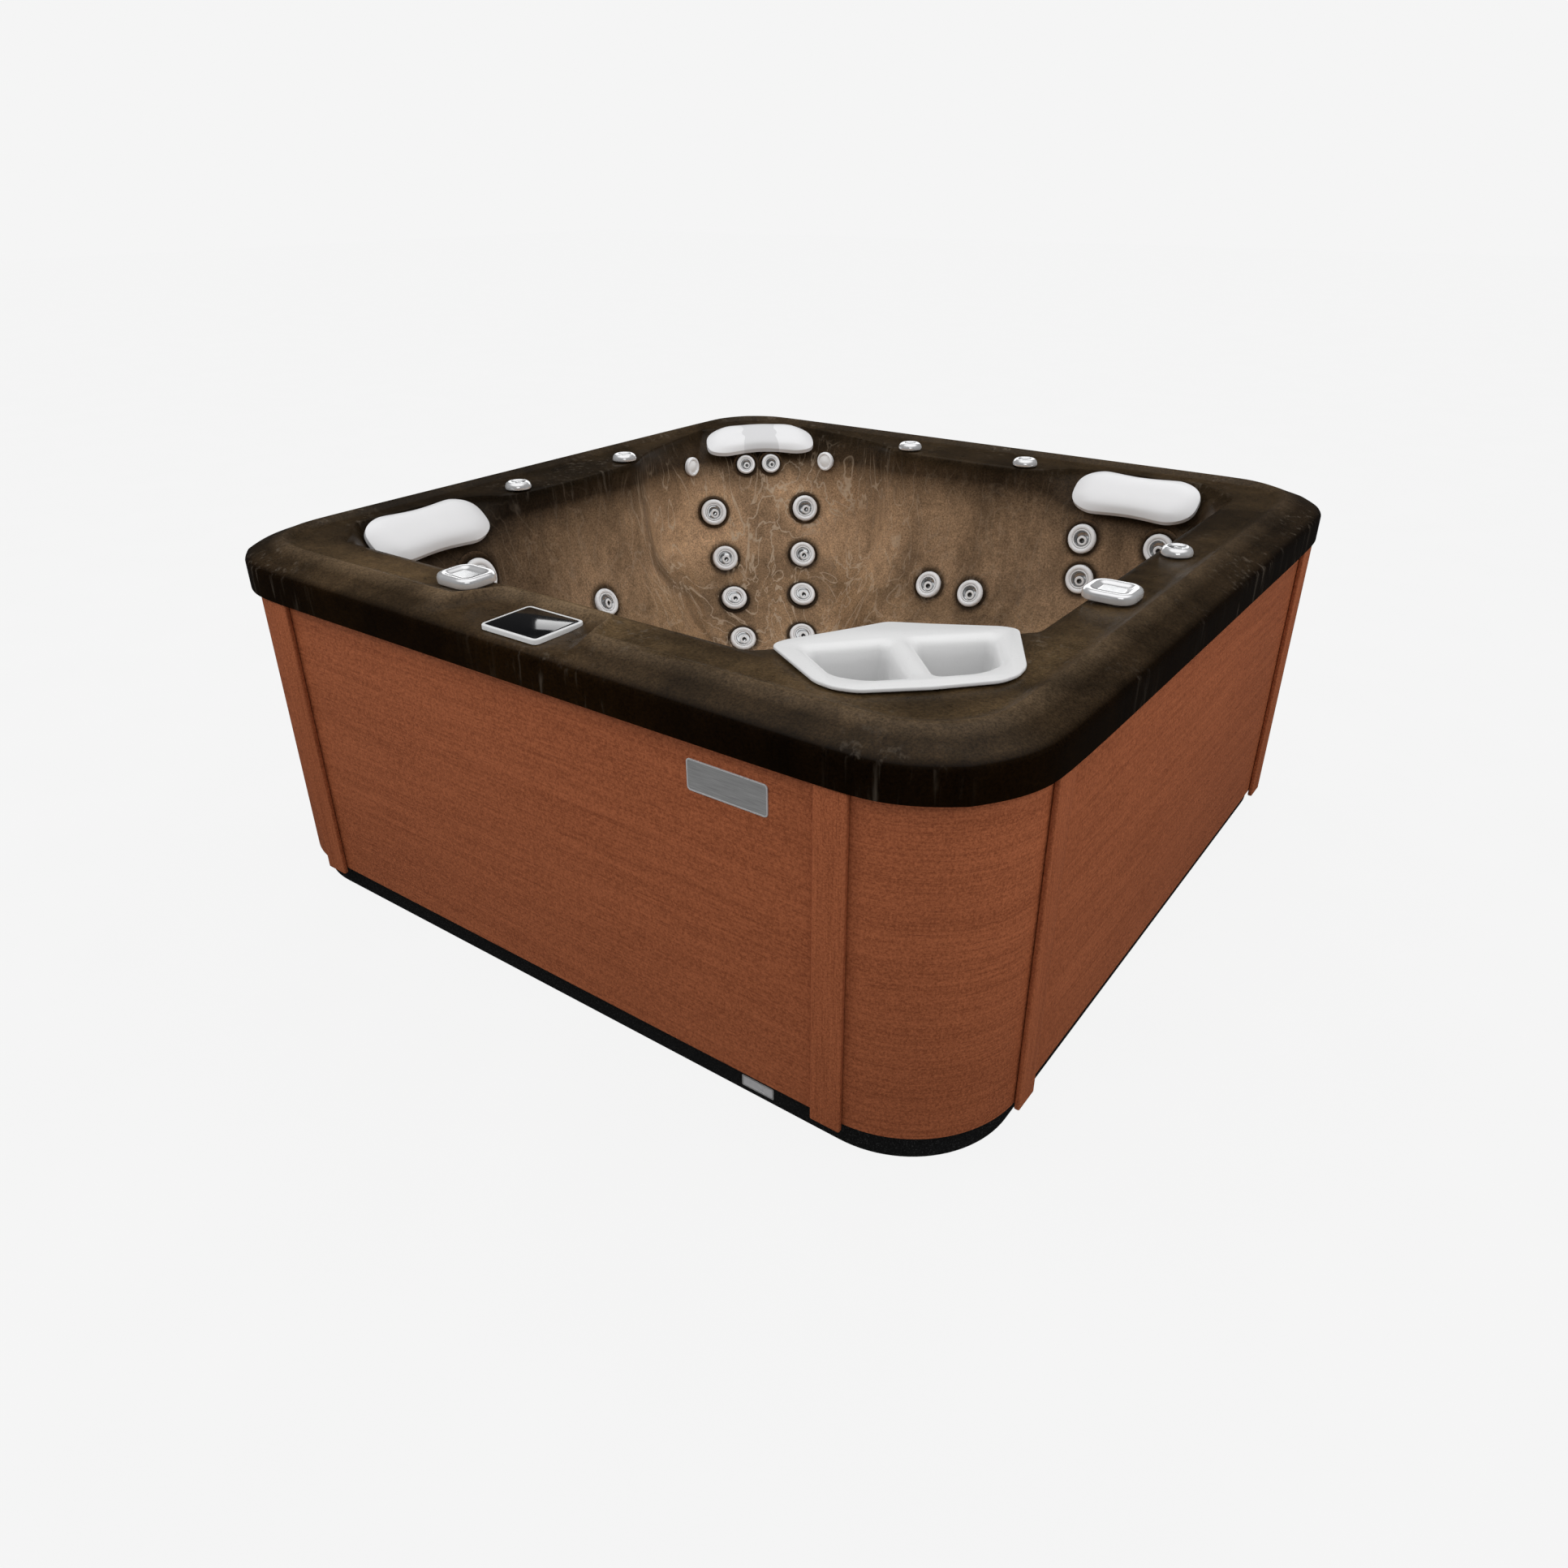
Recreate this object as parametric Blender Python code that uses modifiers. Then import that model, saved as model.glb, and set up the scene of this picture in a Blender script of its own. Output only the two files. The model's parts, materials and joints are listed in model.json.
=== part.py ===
"""Portable hot tub: acrylic shell, panelled cabinet, pillows, jets, controls, skim filter and plant.

Run with: blender --background --python part.py
Metres, +Z up. The origin is the centre of the footprint, on the ground. The front, with the
control panel and the badge, faces -Y.
"""
import math

import bmesh
import bpy
from mathutils import Matrix, Vector

# ---- driving dimensions -------------------------------------------------------------------
RIM_HALF = 1.07            # outer half width of the acrylic rim
RIM_RADIUS = 0.28          # plan radius of the rim's corners
CABINET_HALF = 1.05        # outer half width of the cabinet panels
CABINET_RADIUS = 0.26      # plan radius of the cabinet's corners
RIDGE_Z = 0.900            # highest line of the rim
DECK_Z = 0.8865            # flat deck inside the ridge
SKIRT_Z = 0.797            # lower edge of the rim's skirt
SHELL_THICK = 0.006        # acrylic and its backing
BASE_H = 0.068             # moulded base pan
BASE_HALF = 1.03           # outer half width of the base pan
BASE_THICK = 0.006
PANEL_Z0 = 0.070           # lower edge of the cabinet panels
PANEL_Z1 = 0.825           # upper edge of the panels, behind the skirt
PANEL_THICK = 0.015
TRIM_W = 0.068             # vertical trim strips beside each corner
TRIM_THICK = 0.012
TRIM_AT = 0.775            # distance of a trim strip's middle line from the tub's centre line
GAP = 0.0004               # gap between touching solids
JET_LIFT = 0.004           # gap between a jet's flange and the curved acrylic
PILLOW_W = 0.365
PILLOW_H = 0.160
PILLOW_T = 0.044
ROOT2 = math.sqrt(2.0)

SIDES = ("right", "back", "left", "front")
CORNERS = ("back_right", "back_left", "front_left", "front_right")


# ---- general helpers ----------------------------------------------------------------------
def clear_scene():
    for obj in list(bpy.data.objects):
        bpy.data.objects.remove(obj, do_unlink=True)


def make_collection(name):
    coll = bpy.data.collections.new(name)
    bpy.context.scene.collection.children.link(coll)
    return coll


def make_material(name, colour, roughness, metallic=0.0):
    mat = bpy.data.materials.new(name)
    mat.use_nodes = True
    bsdf = mat.node_tree.nodes["Principled BSDF"]
    bsdf.inputs["Base Color"].default_value = (*colour, 1.0)
    bsdf.inputs["Roughness"].default_value = roughness
    bsdf.inputs["Metallic"].default_value = metallic
    mat.diffuse_color = (*colour, 1.0)
    return mat


def finish_object(name, bm, material, matrix=None, coll=None):
    """Turn a bmesh into a named object with its material."""
    bmesh.ops.recalc_face_normals(bm, faces=bm.faces)
    mesh = bpy.data.meshes.new(name)
    bm.to_mesh(mesh)
    bm.free()
    mesh.materials.append(material)
    obj = bpy.data.objects.new(name, mesh)
    (coll or PARTS).objects.link(obj)
    if matrix is not None:
        obj.matrix_world = matrix
    return obj


def box_bmesh(x0, x1, y0, y1, z0, z1):
    bm = bmesh.new()
    size = Matrix.Diagonal((x1 - x0, y1 - y0, z1 - z0, 1.0))
    centre = Matrix.Translation(((x0 + x1) / 2, (y0 + y1) / 2, (z0 + z1) / 2))
    bmesh.ops.create_cube(bm, size=1.0, matrix=centre @ size)
    return bm


def prism_bmesh(outline, z0, z1):
    """Extrude a closed plan outline from z0 to z1."""
    bm = bmesh.new()
    base = bm.faces.new([bm.verts.new((x, y, z0)) for x, y in outline])
    lifted = bmesh.ops.extrude_face_region(bm, geom=[base])
    top = [v for v in lifted["geom"] if isinstance(v, bmesh.types.BMVert)]
    bmesh.ops.translate(bm, verts=top, vec=(0.0, 0.0, z1 - z0))
    return bm


def turned_bmesh(profile, segments):
    """Spin a half profile [(radius, z), ...] about Z; its ends lie on the axis."""
    bm = bmesh.new()
    verts = [bm.verts.new((r, 0.0, z)) for r, z in profile]
    edges = [bm.edges.new(pair) for pair in zip(verts, verts[1:])]
    bmesh.ops.spin(bm, geom=verts + edges, cent=(0, 0, 0), axis=(0, 0, 1),
                   angle=math.tau, steps=segments, use_merge=True)
    bmesh.ops.remove_doubles(bm, verts=bm.verts, dist=1e-5)
    return bm


def rounded_rect(hx, hy, radius, steps=4, cx=0.0, cy=0.0):
    """Plan outline of a rounded rectangle, counterclockwise."""
    points = []
    for quarter, (sx, sy) in enumerate(((1, 1), (-1, 1), (-1, -1), (1, -1))):
        for i in range(steps + 1):
            a = math.radians(90 * quarter + 90 * i / steps)
            points.append((cx + sx * (hx - radius) + radius * math.cos(a),
                           cy + sy * (hy - radius) + radius * math.sin(a)))
    return points


def add_boolean(obj, cutter, operation):
    mod = obj.modifiers.new(operation.title(), "BOOLEAN")
    mod.operation = operation
    mod.object = cutter
    cutter.hide_render = True
    cutter.display_type = "WIRE"


def axis_matrix(location, normal, up=Vector((0, 0, 1))):
    """Matrix whose local +Z is the given normal and whose local +Y leans towards up."""
    z = Vector(normal).normalized()
    x = up.cross(z).normalized() if abs(z.dot(up)) < 0.999 else Vector((1, 0, 0))
    y = z.cross(x)
    rot = Matrix((x, y, z)).transposed().to_4x4()
    return Matrix.Translation(location) @ rot


# ---- the shell's rings --------------------------------------------------------------------
class Ring:
    """One level of the shell: an octagon with rounded vertices.

    half is the distance of the four sides from the centre and corners the distance of the four
    chamfers along the diagonals. The rest changes the ring in places: low drops it in the deep
    back left seat, niche widens it beside that seat and nook at that seat's two vertices, band
    pulls the left and back edges in between the air controls, pocket is (outward, down) behind
    the two wall pillows, and pad is (half, z) where the deck drops for the control panel.
    """

    def __init__(self, z, half, corners, radius, low=0.0, niche=0.0, nook=0.0, band=0.0,
                 pocket=(0.0, 0.0), pad=None):
        self.z = z
        self.half = half
        self.corners = corners
        self.radius = radius
        self.low = low
        self.niche = niche
        self.nook = nook
        self.band = band
        self.pocket = pocket
        self.pad = pad


def round_corners(half, radius):
    """Chamfer distances that give a plain rounded square."""
    return (ROOT2 * (half - radius) + radius,) * 4


def rim_ring(z, inset, **changes):
    """A plain rounded square, inset from the outer edge of the rim."""
    half = RIM_HALF - inset
    radius = RIM_RADIUS - inset
    return Ring(z, half, round_corners(half, radius), radius, **changes)


RINGS = [
    rim_ring(SKIRT_Z, 0.0),
    rim_ring(0.856, 0.0),
    rim_ring(0.873, 0.012),
    rim_ring(0.888, 0.052, pad=(0.905, 0.8745)),
    rim_ring(RIDGE_Z, 0.095, pad=(0.870, 0.895)),
    rim_ring(0.888, 0.125, nook=0.015, pad=(0.862, 0.895)),
    Ring(DECK_Z, 0.905, (1.205, 1.215, 1.205, 1.205), 0.10, nook=0.047, pocket=(0.020, 0.0),
         pad=(0.856, 0.889)),
    Ring(0.8845, 0.845, (1.16, 1.165, 1.16, 0.905), 0.04, niche=0.025, nook=0.075, band=0.058,
         pocket=(0.070, 0.0)),
    Ring(0.872, 0.838, (1.15, 1.155, 1.15, 0.897), 0.04, low=0.004, niche=0.027, nook=0.073,
         band=0.054, pocket=(0.070, 0.010)),
    Ring(0.850, 0.815, (1.090, 1.02, 1.090, 0.890), 0.05, low=0.040, niche=0.050, band=0.030,
         pocket=(-0.020, 0.080)),
    Ring(0.545, 0.739, (0.96, 0.925, 0.96, 0.860), 0.06, niche=0.106),
    Ring(0.450, 0.690, (0.89, 0.865, 0.89, 0.825), 0.06, niche=0.085),
    Ring(0.385, 0.620, (0.80, 0.735, 0.80, 0.760), 0.06, low=0.050, niche=0.050),
    Ring(0.365, 0.550, (0.70, 0.620, 0.70, 0.680), 0.06, low=0.130, niche=0.025),
    Ring(0.360, 0.370, (0.46, 0.380, 0.46, 0.450), 0.06, low=0.138),
    Ring(0.345, 0.350, (0.44, 0.360, 0.44, 0.430), 0.06, low=0.138),
    Ring(0.135, 0.315, (0.39, 0.335, 0.39, 0.385), 0.06),
    Ring(0.120, 0.290, (0.36, 0.310, 0.36, 0.355), 0.06),
]
SEAT_RING = 10             # rings from here down keep their stations in proportion
DROP_REACH = 0.6           # part of a side over which the deep seat's drop fades out

# Where each side's edge bends, in world x or y, in the order the ring is walked.
STATIONS = {
    "right": (-0.28, -0.10, 0.08, 0.22, 0.34, 0.46),
    "back": (0.36, 0.30, 0.25, 0.0, -0.25, -0.30),
    "left": (0.28, 0.23, -0.02, -0.29, -0.34, -0.40),
    "front": (-0.42, -0.235, -0.195, 0.125, 0.165, 0.30),
}
BAND = {"back": (-0.25, 0.25), "left": (-0.29, 0.23)}
NICHE = {"back": (-1.0, -0.29), "left": (0.27, 1.0)}
POCKET = {"back": (0.36, 1.0), "left": (-1.0, -0.40)}
PAD = {"front": (-0.195, 0.125)}
ARC_STEPS = 2


def side_axes(side):
    """Outward and walking directions of a side."""
    outward = {"right": (1, 0), "back": (0, 1), "left": (-1, 0), "front": (0, -1)}[side]
    return outward, (-outward[1], outward[0])


def inside(table, side, along):
    limits = table.get(side)
    return limits is not None and limits[0] - 1e-6 <= along <= limits[1] + 1e-6


def side_level(ring, side, along):
    """Distance from the centre and height of a ring at a place along a side."""
    half, z = ring.half, ring.z
    if inside(BAND, side, along):
        half -= ring.band
    if inside(NICHE, side, along):
        half += ring.niche
    if inside(POCKET, side, along):
        half += ring.pocket[0]
        z -= ring.pocket[1]
    if ring.pad and inside(PAD, side, along):
        half, z = ring.pad
    return half, z


def side_point(ring, side, walk):
    """Point of a ring on a side, walk metres along the walking direction from its middle."""
    outward, forward = side_axes(side)
    half, z = side_level(ring, side, walk * (forward[0] + forward[1]))
    x = outward[0] * half + forward[0] * walk
    y = outward[1] * half + forward[1] * walk
    return Vector((x, y, z))


def smooth(t):
    t = max(0.0, min(1.0, t))
    return t * t * (3.0 - 2.0 * t)


def edge_span(ring, s):
    """Walking positions at which a side's straight edge starts and ends."""
    start = -(ROOT2 * ring.corners[s - 1] - ring.half)
    return start, ROOT2 * ring.corners[s] - ring.half


def seat_drop(ring, s, fraction):
    """Drop of the deep back left seat at a fraction of the way along a side."""
    if SIDES[s] == "back":
        return ring.low * smooth((fraction - 1.0 + DROP_REACH) / DROP_REACH)
    if SIDES[s] == "left":
        return ring.low * smooth((DROP_REACH - fraction) / DROP_REACH)
    return 0.0


def arc_points(vertex, before, after, ring, z):
    """Rounded vertex between the directions before and after, which differ by 45 degrees."""
    start = vertex - before * ring.radius * math.tan(math.radians(22.5))
    centre = start + Vector((-before.y, before.x)) * ring.radius
    points = []
    for i in range(ARC_STEPS + 1):
        turn = Matrix.Rotation(math.radians(45.0 * i / ARC_STEPS), 2)
        spot = centre + turn @ (start - centre)
        points.append(Vector((spot.x, spot.y, z)))
    return points


def ring_points(index):
    """All points of one ring, counterclockwise from the right side's front end."""
    ring = RINGS[index]
    ref = RINGS[SEAT_RING]
    points = []
    for s, side in enumerate(SIDES):
        outward, forward = (Vector(v) for v in side_axes(side))
        start, end = edge_span(ring, s)
        ref_start, ref_end = edge_span(ref, s)
        for station in STATIONS[side]:
            walk = station * (forward.x + forward.y)
            fraction = (walk - ref_start) / (ref_end - ref_start)
            if index > SEAT_RING:
                walk = start + fraction * (end - start)
            point = side_point(ring, side, walk)
            point.z -= seat_drop(ring, s, fraction)
            points.append(point)
        points += corner_points(ring, s, outward, forward)
    return points


def corner_points(ring, s, outward, forward):
    """The two rounded vertices of the chamfer at the end of a side."""
    reach = ROOT2 * ring.corners[s]
    chamfer = (forward - outward).normalized()
    half, z = end_level(ring, s, 1)
    vertex = outward * half + forward * (reach - half)
    points = arc_points(vertex, forward, chamfer, ring, z)
    half, z = end_level(ring, (s + 1) % 4, -1)
    vertex = forward * half + outward * (reach - half)
    return points + arc_points(vertex, chamfer, -outward, ring, z)


def end_level(ring, s, end):
    """Distance and height of a side at its end, 1, or its start, -1."""
    forward = side_axes(SIDES[s])[1]
    half, z = side_level(ring, SIDES[s], end * (forward[0] + forward[1]))
    if (SIDES[s], end) in {("back", 1), ("left", -1)}:
        half += ring.nook
        z -= ring.low
    return half, z


def wall_profile(wall, along):
    """(z, distance from the centre) down one wall of the tub, from its upper edge."""
    if wall == "back_left":
        return [(ring.z - ring.low, ring.corners[1]) for ring in RINGS[9:14]]
    widen = 1.0 if inside(NICHE, wall, along) else 0.0
    return [(ring.z, ring.half + widen * ring.niche) for ring in RINGS[9:14]]


def wall_axes(wall):
    """Outward and sideways unit vectors of a wall."""
    if wall == "back_left":
        return Vector((-1, 1, 0)).normalized(), Vector((1, 1, 0)).normalized()
    outward = Vector((*side_axes(wall)[0], 0))
    return outward, Vector((abs(outward.y), abs(outward.x), 0))


def on_wall(wall, along, z):
    """Point and inward normal of a wall at a height."""
    rows = wall_profile(wall, along)
    for (z0, d0), (z1, d1) in zip(rows, rows[1:]):
        if z >= z1:
            break
    distance = d0 + (z - z0) / (z1 - z0) * (d1 - d0)
    outward, sideways = wall_axes(wall)
    run = outward * (d1 - d0) + Vector((0, 0, z1 - z0))
    normal = sideways.cross(run).normalized()
    if normal.dot(outward) > 0:
        normal.negate()
    return outward * distance + sideways * along + Vector((0, 0, z)), normal


# ---- acrylic shell and cabinet ------------------------------------------------------------
def lens_to_plan(points):
    """Plan points from (across, outward) pairs on the front right diagonal."""
    return [((a + d) / ROOT2, (a - d) / ROOT2) for a, d in points]


def mirrored(half):
    """Close an outline from its half at positive across, walked outwards."""
    return half + [(-a, d) for a, d in reversed(half) if a > 1e-6]


TRAY_HALF = [(0.0, 0.835), (0.085, 0.862), (0.215, 0.898), (0.24, 0.918), (0.192, 1.095),
             (0.165, 1.130), (0.127, 1.150), (0.0, 1.157)]
WELL_HALF = [(0.188, 0.932), (0.200, 0.944), (0.165, 1.085), (0.110, 1.122)]
WELL_Z = 0.300             # floor of the filter housing
WELL_WALL = 0.003
FLANGE = 0.010             # lip of the filter housing over the deck


def offset_outline(points, distance):
    """Move a convex outline's edges outwards by a distance."""
    area = sum(a[0] * b[1] - b[0] * a[1] for a, b in zip(points, points[1:] + points[:1]))
    sign = 1.0 if area > 0 else -1.0
    result = []
    for before, here, after in zip(points[-1:] + points[:-1], points, points[1:] + points[:1]):
        e0 = (Vector(here) - Vector(before)).normalized()
        e1 = (Vector(after) - Vector(here)).normalized()
        n0 = Vector((e0.y, -e0.x)) * sign
        n1 = Vector((e1.y, -e1.x)) * sign
        mitre = (n0 + n1) / (1.0 + n0.dot(n1))
        result.append(tuple(Vector(here) + mitre * distance))
    return result


def make_shell(mats):
    """Moulded acrylic tub: skirt, deck, walls, seats and footwell in one sheet."""
    bm = bmesh.new()
    rows = [[bm.verts.new(p) for p in ring_points(i)] for i in range(len(RINGS))]
    count = len(rows[0])
    for upper, lower in zip(rows, rows[1:]):
        for i in range(count):
            j = (i + 1) % count
            bm.faces.new((upper[i], upper[j], lower[j], lower[i]))
    bm.faces.new(rows[-1])
    bmesh.ops.remove_doubles(bm, verts=bm.verts, dist=1e-5)
    shell = finish_object("shell", bm, mats["acrylic"])
    solid = shell.modifiers.new("Thickness", "SOLIDIFY")
    solid.thickness = SHELL_THICK
    solid.offset = shell_side(shell)
    hole = prism_bmesh(lens_to_plan(offset_outline(mirrored(WELL_HALF), 0.0015)), 0.80, 0.95)
    add_boolean(shell, finish_object("well_cutter", hole, mats["acrylic"], coll=CUTTERS),
                "DIFFERENCE")
    return shell


def shell_side(shell):
    """Solidify offset that puts the thickness under the deck, whichever way its faces point."""
    lowest = min(shell.data.polygons, key=lambda f: f.center.z - (len(f.vertices) > 4))
    return -1.0 if lowest.normal.z > 0 else 1.0


def make_base_pan(mats):
    """Moulded base tray that the tub stands on."""
    bm = prism_bmesh(rounded_rect(BASE_HALF, BASE_HALF, 0.24), 0.0, BASE_H)
    top = max(bm.faces, key=lambda f: f.calc_center_median().z)
    bmesh.ops.delete(bm, geom=[top], context="FACES_ONLY")
    pan = finish_object("base_pan", bm, mats["base"])
    solid = pan.modifiers.new("Thickness", "SOLIDIFY")
    solid.thickness = BASE_THICK
    solid.offset = -1.0
    return pan


def ring_frame_bmesh(half, inner, radius, z0, z1):
    """Outer and inner prisms of a flat ring of timber."""
    bm = prism_bmesh(rounded_rect(half, half, radius), z0, z1)
    return bm, prism_bmesh(rounded_rect(inner, inner, radius - (half - inner)), z0 - 0.01, z1 + 0.01)


FRAME_OUT = CABINET_HALF - PANEL_THICK - GAP
FRAME_IN = FRAME_OUT - 0.048
STUD_AT = 0.60
STUD_W = 0.055
UPPER_Z0 = 0.830
UPPER_Z1 = 0.8640


def make_frame(mats):
    """Timber frame: lower ring, studs and upper ring, glued and nailed as one."""
    radius = CABINET_RADIUS - PANEL_THICK
    lower, lower_hole = ring_frame_bmesh(FRAME_OUT, FRAME_IN, radius, BASE_H + GAP, 0.112)
    frame = finish_object("cabinet_frame", lower, mats["timber"])
    add_boolean(frame, finish_object("lower_cutter", lower_hole, mats["timber"], coll=CUTTERS),
                "DIFFERENCE")
    upper, upper_hole = ring_frame_bmesh(FRAME_OUT, FRAME_IN, radius, UPPER_Z0, UPPER_Z1)
    upper_ring = finish_object("upper_ring", upper, mats["timber"], coll=CUTTERS)
    add_boolean(upper_ring, finish_object("upper_cutter", upper_hole, mats["timber"],
                                          coll=CUTTERS), "DIFFERENCE")
    for side in SIDES:
        outward, forward = side_axes(side)
        for along in (-STUD_AT, STUD_AT):
            a, b = FRAME_IN + 0.001, FRAME_OUT - 0.001
            xs = sorted((outward[0] * a, outward[0] * b)) if outward[0] else \
                (along - STUD_W / 2, along + STUD_W / 2)
            ys = sorted((outward[1] * a, outward[1] * b)) if outward[1] else \
                (along - STUD_W / 2, along + STUD_W / 2)
            stud = box_bmesh(*xs, *ys, 0.105, UPPER_Z0 + 0.010)
            name = f"stud_{side}_{'a' if along < 0 else 'b'}"
            add_boolean(frame, finish_object(name, stud, mats["timber"], coll=CUTTERS), "UNION")
    add_boolean(frame, upper_ring, "UNION")


def panel_path(corner_sign, radius_in, steps=8):
    """Quarter turn of a cabinet corner between its two trim strips."""
    sx, sy = corner_sign
    centre = CABINET_HALF - CABINET_RADIUS
    radius = CABINET_RADIUS - radius_in
    face = CABINET_HALF - radius_in
    start = TRIM_AT + GAP
    points = [(face, start)]
    points += [(centre + radius * math.cos(math.radians(90 * i / steps)),
                centre + radius * math.sin(math.radians(90 * i / steps)))
               for i in range(steps + 1)]
    points.append((start, face))
    return [(sx * x, sy * y) for x, y in points]


def make_panels(mats):
    """Four flat cabinet panels and four bent corner panels, behind the trim strips."""
    reach = TRIM_AT - GAP
    inner = CABINET_HALF - PANEL_THICK
    for side in SIDES:
        outward, forward = side_axes(side)
        xs = sorted((outward[0] * inner, outward[0] * CABINET_HALF)) if outward[0] else \
            (-reach, reach)
        ys = sorted((outward[1] * inner, outward[1] * CABINET_HALF)) if outward[1] else \
            (-reach, reach)
        finish_object(f"{side}_panel", box_bmesh(*xs, *ys, PANEL_Z0, PANEL_Z1), mats["cladding"])
    signs = {"back_right": (1, 1), "back_left": (-1, 1), "front_left": (-1, -1),
             "front_right": (1, -1)}
    for corner, sign in signs.items():
        outline = panel_path(sign, 0.0) + panel_path(sign, PANEL_THICK)[::-1]
        finish_object(f"{corner}_corner_panel", prism_bmesh(outline, PANEL_Z0, PANEL_Z1),
                      mats["cladding"])


TRIM_Z0 = 0.056
TRIM_Z1 = 0.794
TRIM_ROUND = 0.003


def make_trims(mats):
    """Eight vertical strips that cover the seams of the cabinet."""
    for side in SIDES:
        outward, forward = side_axes(side)
        for along in (-TRIM_AT, TRIM_AT):
            near, far = CABINET_HALF + GAP, CABINET_HALF + GAP + TRIM_THICK
            xs = sorted((outward[0] * near, outward[0] * far)) if outward[0] else \
                (along - TRIM_W / 2, along + TRIM_W / 2)
            ys = sorted((outward[1] * near, outward[1] * far)) if outward[1] else \
                (along - TRIM_W / 2, along + TRIM_W / 2)
            bm = box_bmesh(*xs, *ys, TRIM_Z0, TRIM_Z1)
            bmesh.ops.bevel(bm, geom=bm.edges[:], offset=TRIM_ROUND, segments=1, profile=0.5,
                            affect="EDGES")
            end = trim_end(side, along)
            finish_object(f"trim_{side}_{end}", bm, mats["cladding"])


def trim_end(side, along):
    """Name of the end of a side at which a strip stands."""
    if side in ("front", "back"):
        return "left" if along < 0 else "right"
    return "front" if along < 0 else "back"


BADGE_X = 0.552
BADGE_Z = 0.722
RATING_X = 0.592
RATING_Z = 0.030


def make_plates(mats):
    """Blank badge on the front panel and blank rating plate on the base."""
    badge = prism_bmesh(rounded_rect(0.0905, 0.0325, 0.008, steps=3), 0.0, 0.002)
    place = Matrix.Translation((BADGE_X, -CABINET_HALF - GAP, BADGE_Z)) @ \
        Matrix.Rotation(math.radians(90), 4, "X")
    finish_object("badge_plate", badge, mats["steel"], place)
    rating = prism_bmesh(rounded_rect(0.040, 0.014, 0.003, steps=2), 0.0, 0.0008)
    place = Matrix.Translation((RATING_X, -BASE_HALF - GAP, RATING_Z)) @ \
        Matrix.Rotation(math.radians(90), 4, "X")
    finish_object("rating_plate", rating, mats["steel"], place)




# ---- pillows ------------------------------------------------------------------------------
# name: (centre, outward direction, lean from the vertical in degrees)
PILLOWS = {
    "back_left": ((-0.751, 0.768, 0.868), (-1, 1, 0), 66.0),
    "back_right": ((0.562, 0.826, 0.842), (0, 1, 0), 50.0),
    "front_left": ((-0.834, -0.566, 0.842), (-1, 0, 0), 50.0),
}


def pillow_matrix(name):
    """Placement of a pillow: local X across it, local Y up its face, local Z out of the wall."""
    centre, outward, degrees = PILLOWS[name]
    outward = Vector(outward).normalized()
    lean = math.radians(degrees)
    up = outward * math.sin(lean) + Vector((0, 0, math.cos(lean)))
    normal = -outward * math.cos(lean) + Vector((0, 0, math.sin(lean)))
    across = up.cross(normal)
    rot = Matrix((across, up, normal)).transposed().to_4x4()
    return Matrix.Translation(centre) @ rot


def make_pillows(mats):
    """Three foam head rests with a waist in the middle."""
    for name in PILLOWS:
        outline = []
        steps = 20
        for i in range(steps):
            a = math.tau * i / steps
            c, s = math.cos(a), math.sin(a)
            x = PILLOW_W / 2 * math.copysign(abs(c) ** 0.7, c)
            waist = 0.84 + 0.16 * min(1.0, (abs(x) / (0.3 * PILLOW_W)) ** 2)
            y = PILLOW_H / 2 * math.copysign(abs(s) ** 0.7, s) * waist
            outline.append((x, y))
        bm = prism_bmesh(outline, -PILLOW_T / 2, PILLOW_T / 2)
        bmesh.ops.bevel(bm, geom=[e for e in bm.edges if abs(e.verts[0].co.z - e.verts[1].co.z)
                                  < 1e-6], offset=0.012, segments=1, profile=0.5,
                        affect="EDGES")
        finish_object(f"pillow_{name}", bm, mats["pillow"], pillow_matrix(name))


# ---- jets, lights, controls ---------------------------------------------------------------
JET_R = 0.043
NECK_JET_R = 0.031
BIG_JET_R = 0.055
JETS = {
    "neck_jet_left": ("back_left", -0.043, 0.793, NECK_JET_R),
    "neck_jet_right": ("back_left", 0.043, 0.793, NECK_JET_R),
    "jet_corner_left_1": ("back_left", -0.163, 0.648, JET_R),
    "jet_corner_left_2": ("back_left", -0.135, 0.503, JET_R),
    "jet_corner_left_3": ("back_left", -0.118, 0.392, JET_R),
    "jet_corner_left_4": ("back_left", -0.105, 0.288, JET_R),
    "jet_corner_right_1": ("back_left", 0.153, 0.648, JET_R),
    "jet_corner_right_2": ("back_left", 0.135, 0.503, JET_R),
    "jet_corner_right_3": ("back_left", 0.118, 0.392, JET_R),
    "jet_corner_right_4": ("back_left", 0.096, 0.288, JET_R),
    "jet_back_left": ("back", -0.028, 0.497, JET_R),
    "jet_back_right": ("back", 0.122, 0.497, JET_R),
    "jet_back_seat_upper": ("back", 0.440, 0.711, JET_R),
    "jet_back_seat_lower": ("back", 0.458, 0.598, JET_R),
    "jet_back_seat_outer": ("back", 0.668, 0.718, JET_R),
    "jet_left_middle": ("left", -0.055, 0.516, JET_R),
    "jet_left_seat_large": ("left", -0.473, 0.695, BIG_JET_R),
}
LIGHTS = {"light_left": ("left", 0.535, 0.800), "light_back": ("back", -0.535, 0.800)}
KNOB_Z = 0.8895            # underside of the air knobs, just clear of the deck
AIR_KNOBS = {
    "air_knob_left_front": (-0.831, -0.250),
    "air_knob_left_back": (-0.831, 0.185),
    "air_knob_back_left": (-0.188, 0.828),
    "air_knob_back_right": (0.212, 0.828),
    "air_knob_right": (0.893, 0.193),
}
DIVERTER_Z = 0.8915         # a little higher, so a handle clears the deck's slopes as it turns
DIVERTERS = {"diverter_front": (-0.288, -0.890), "diverter_right": (0.886, -0.183)}
CONTROL_AT = (0.004, -0.973, 0.8755)


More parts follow.
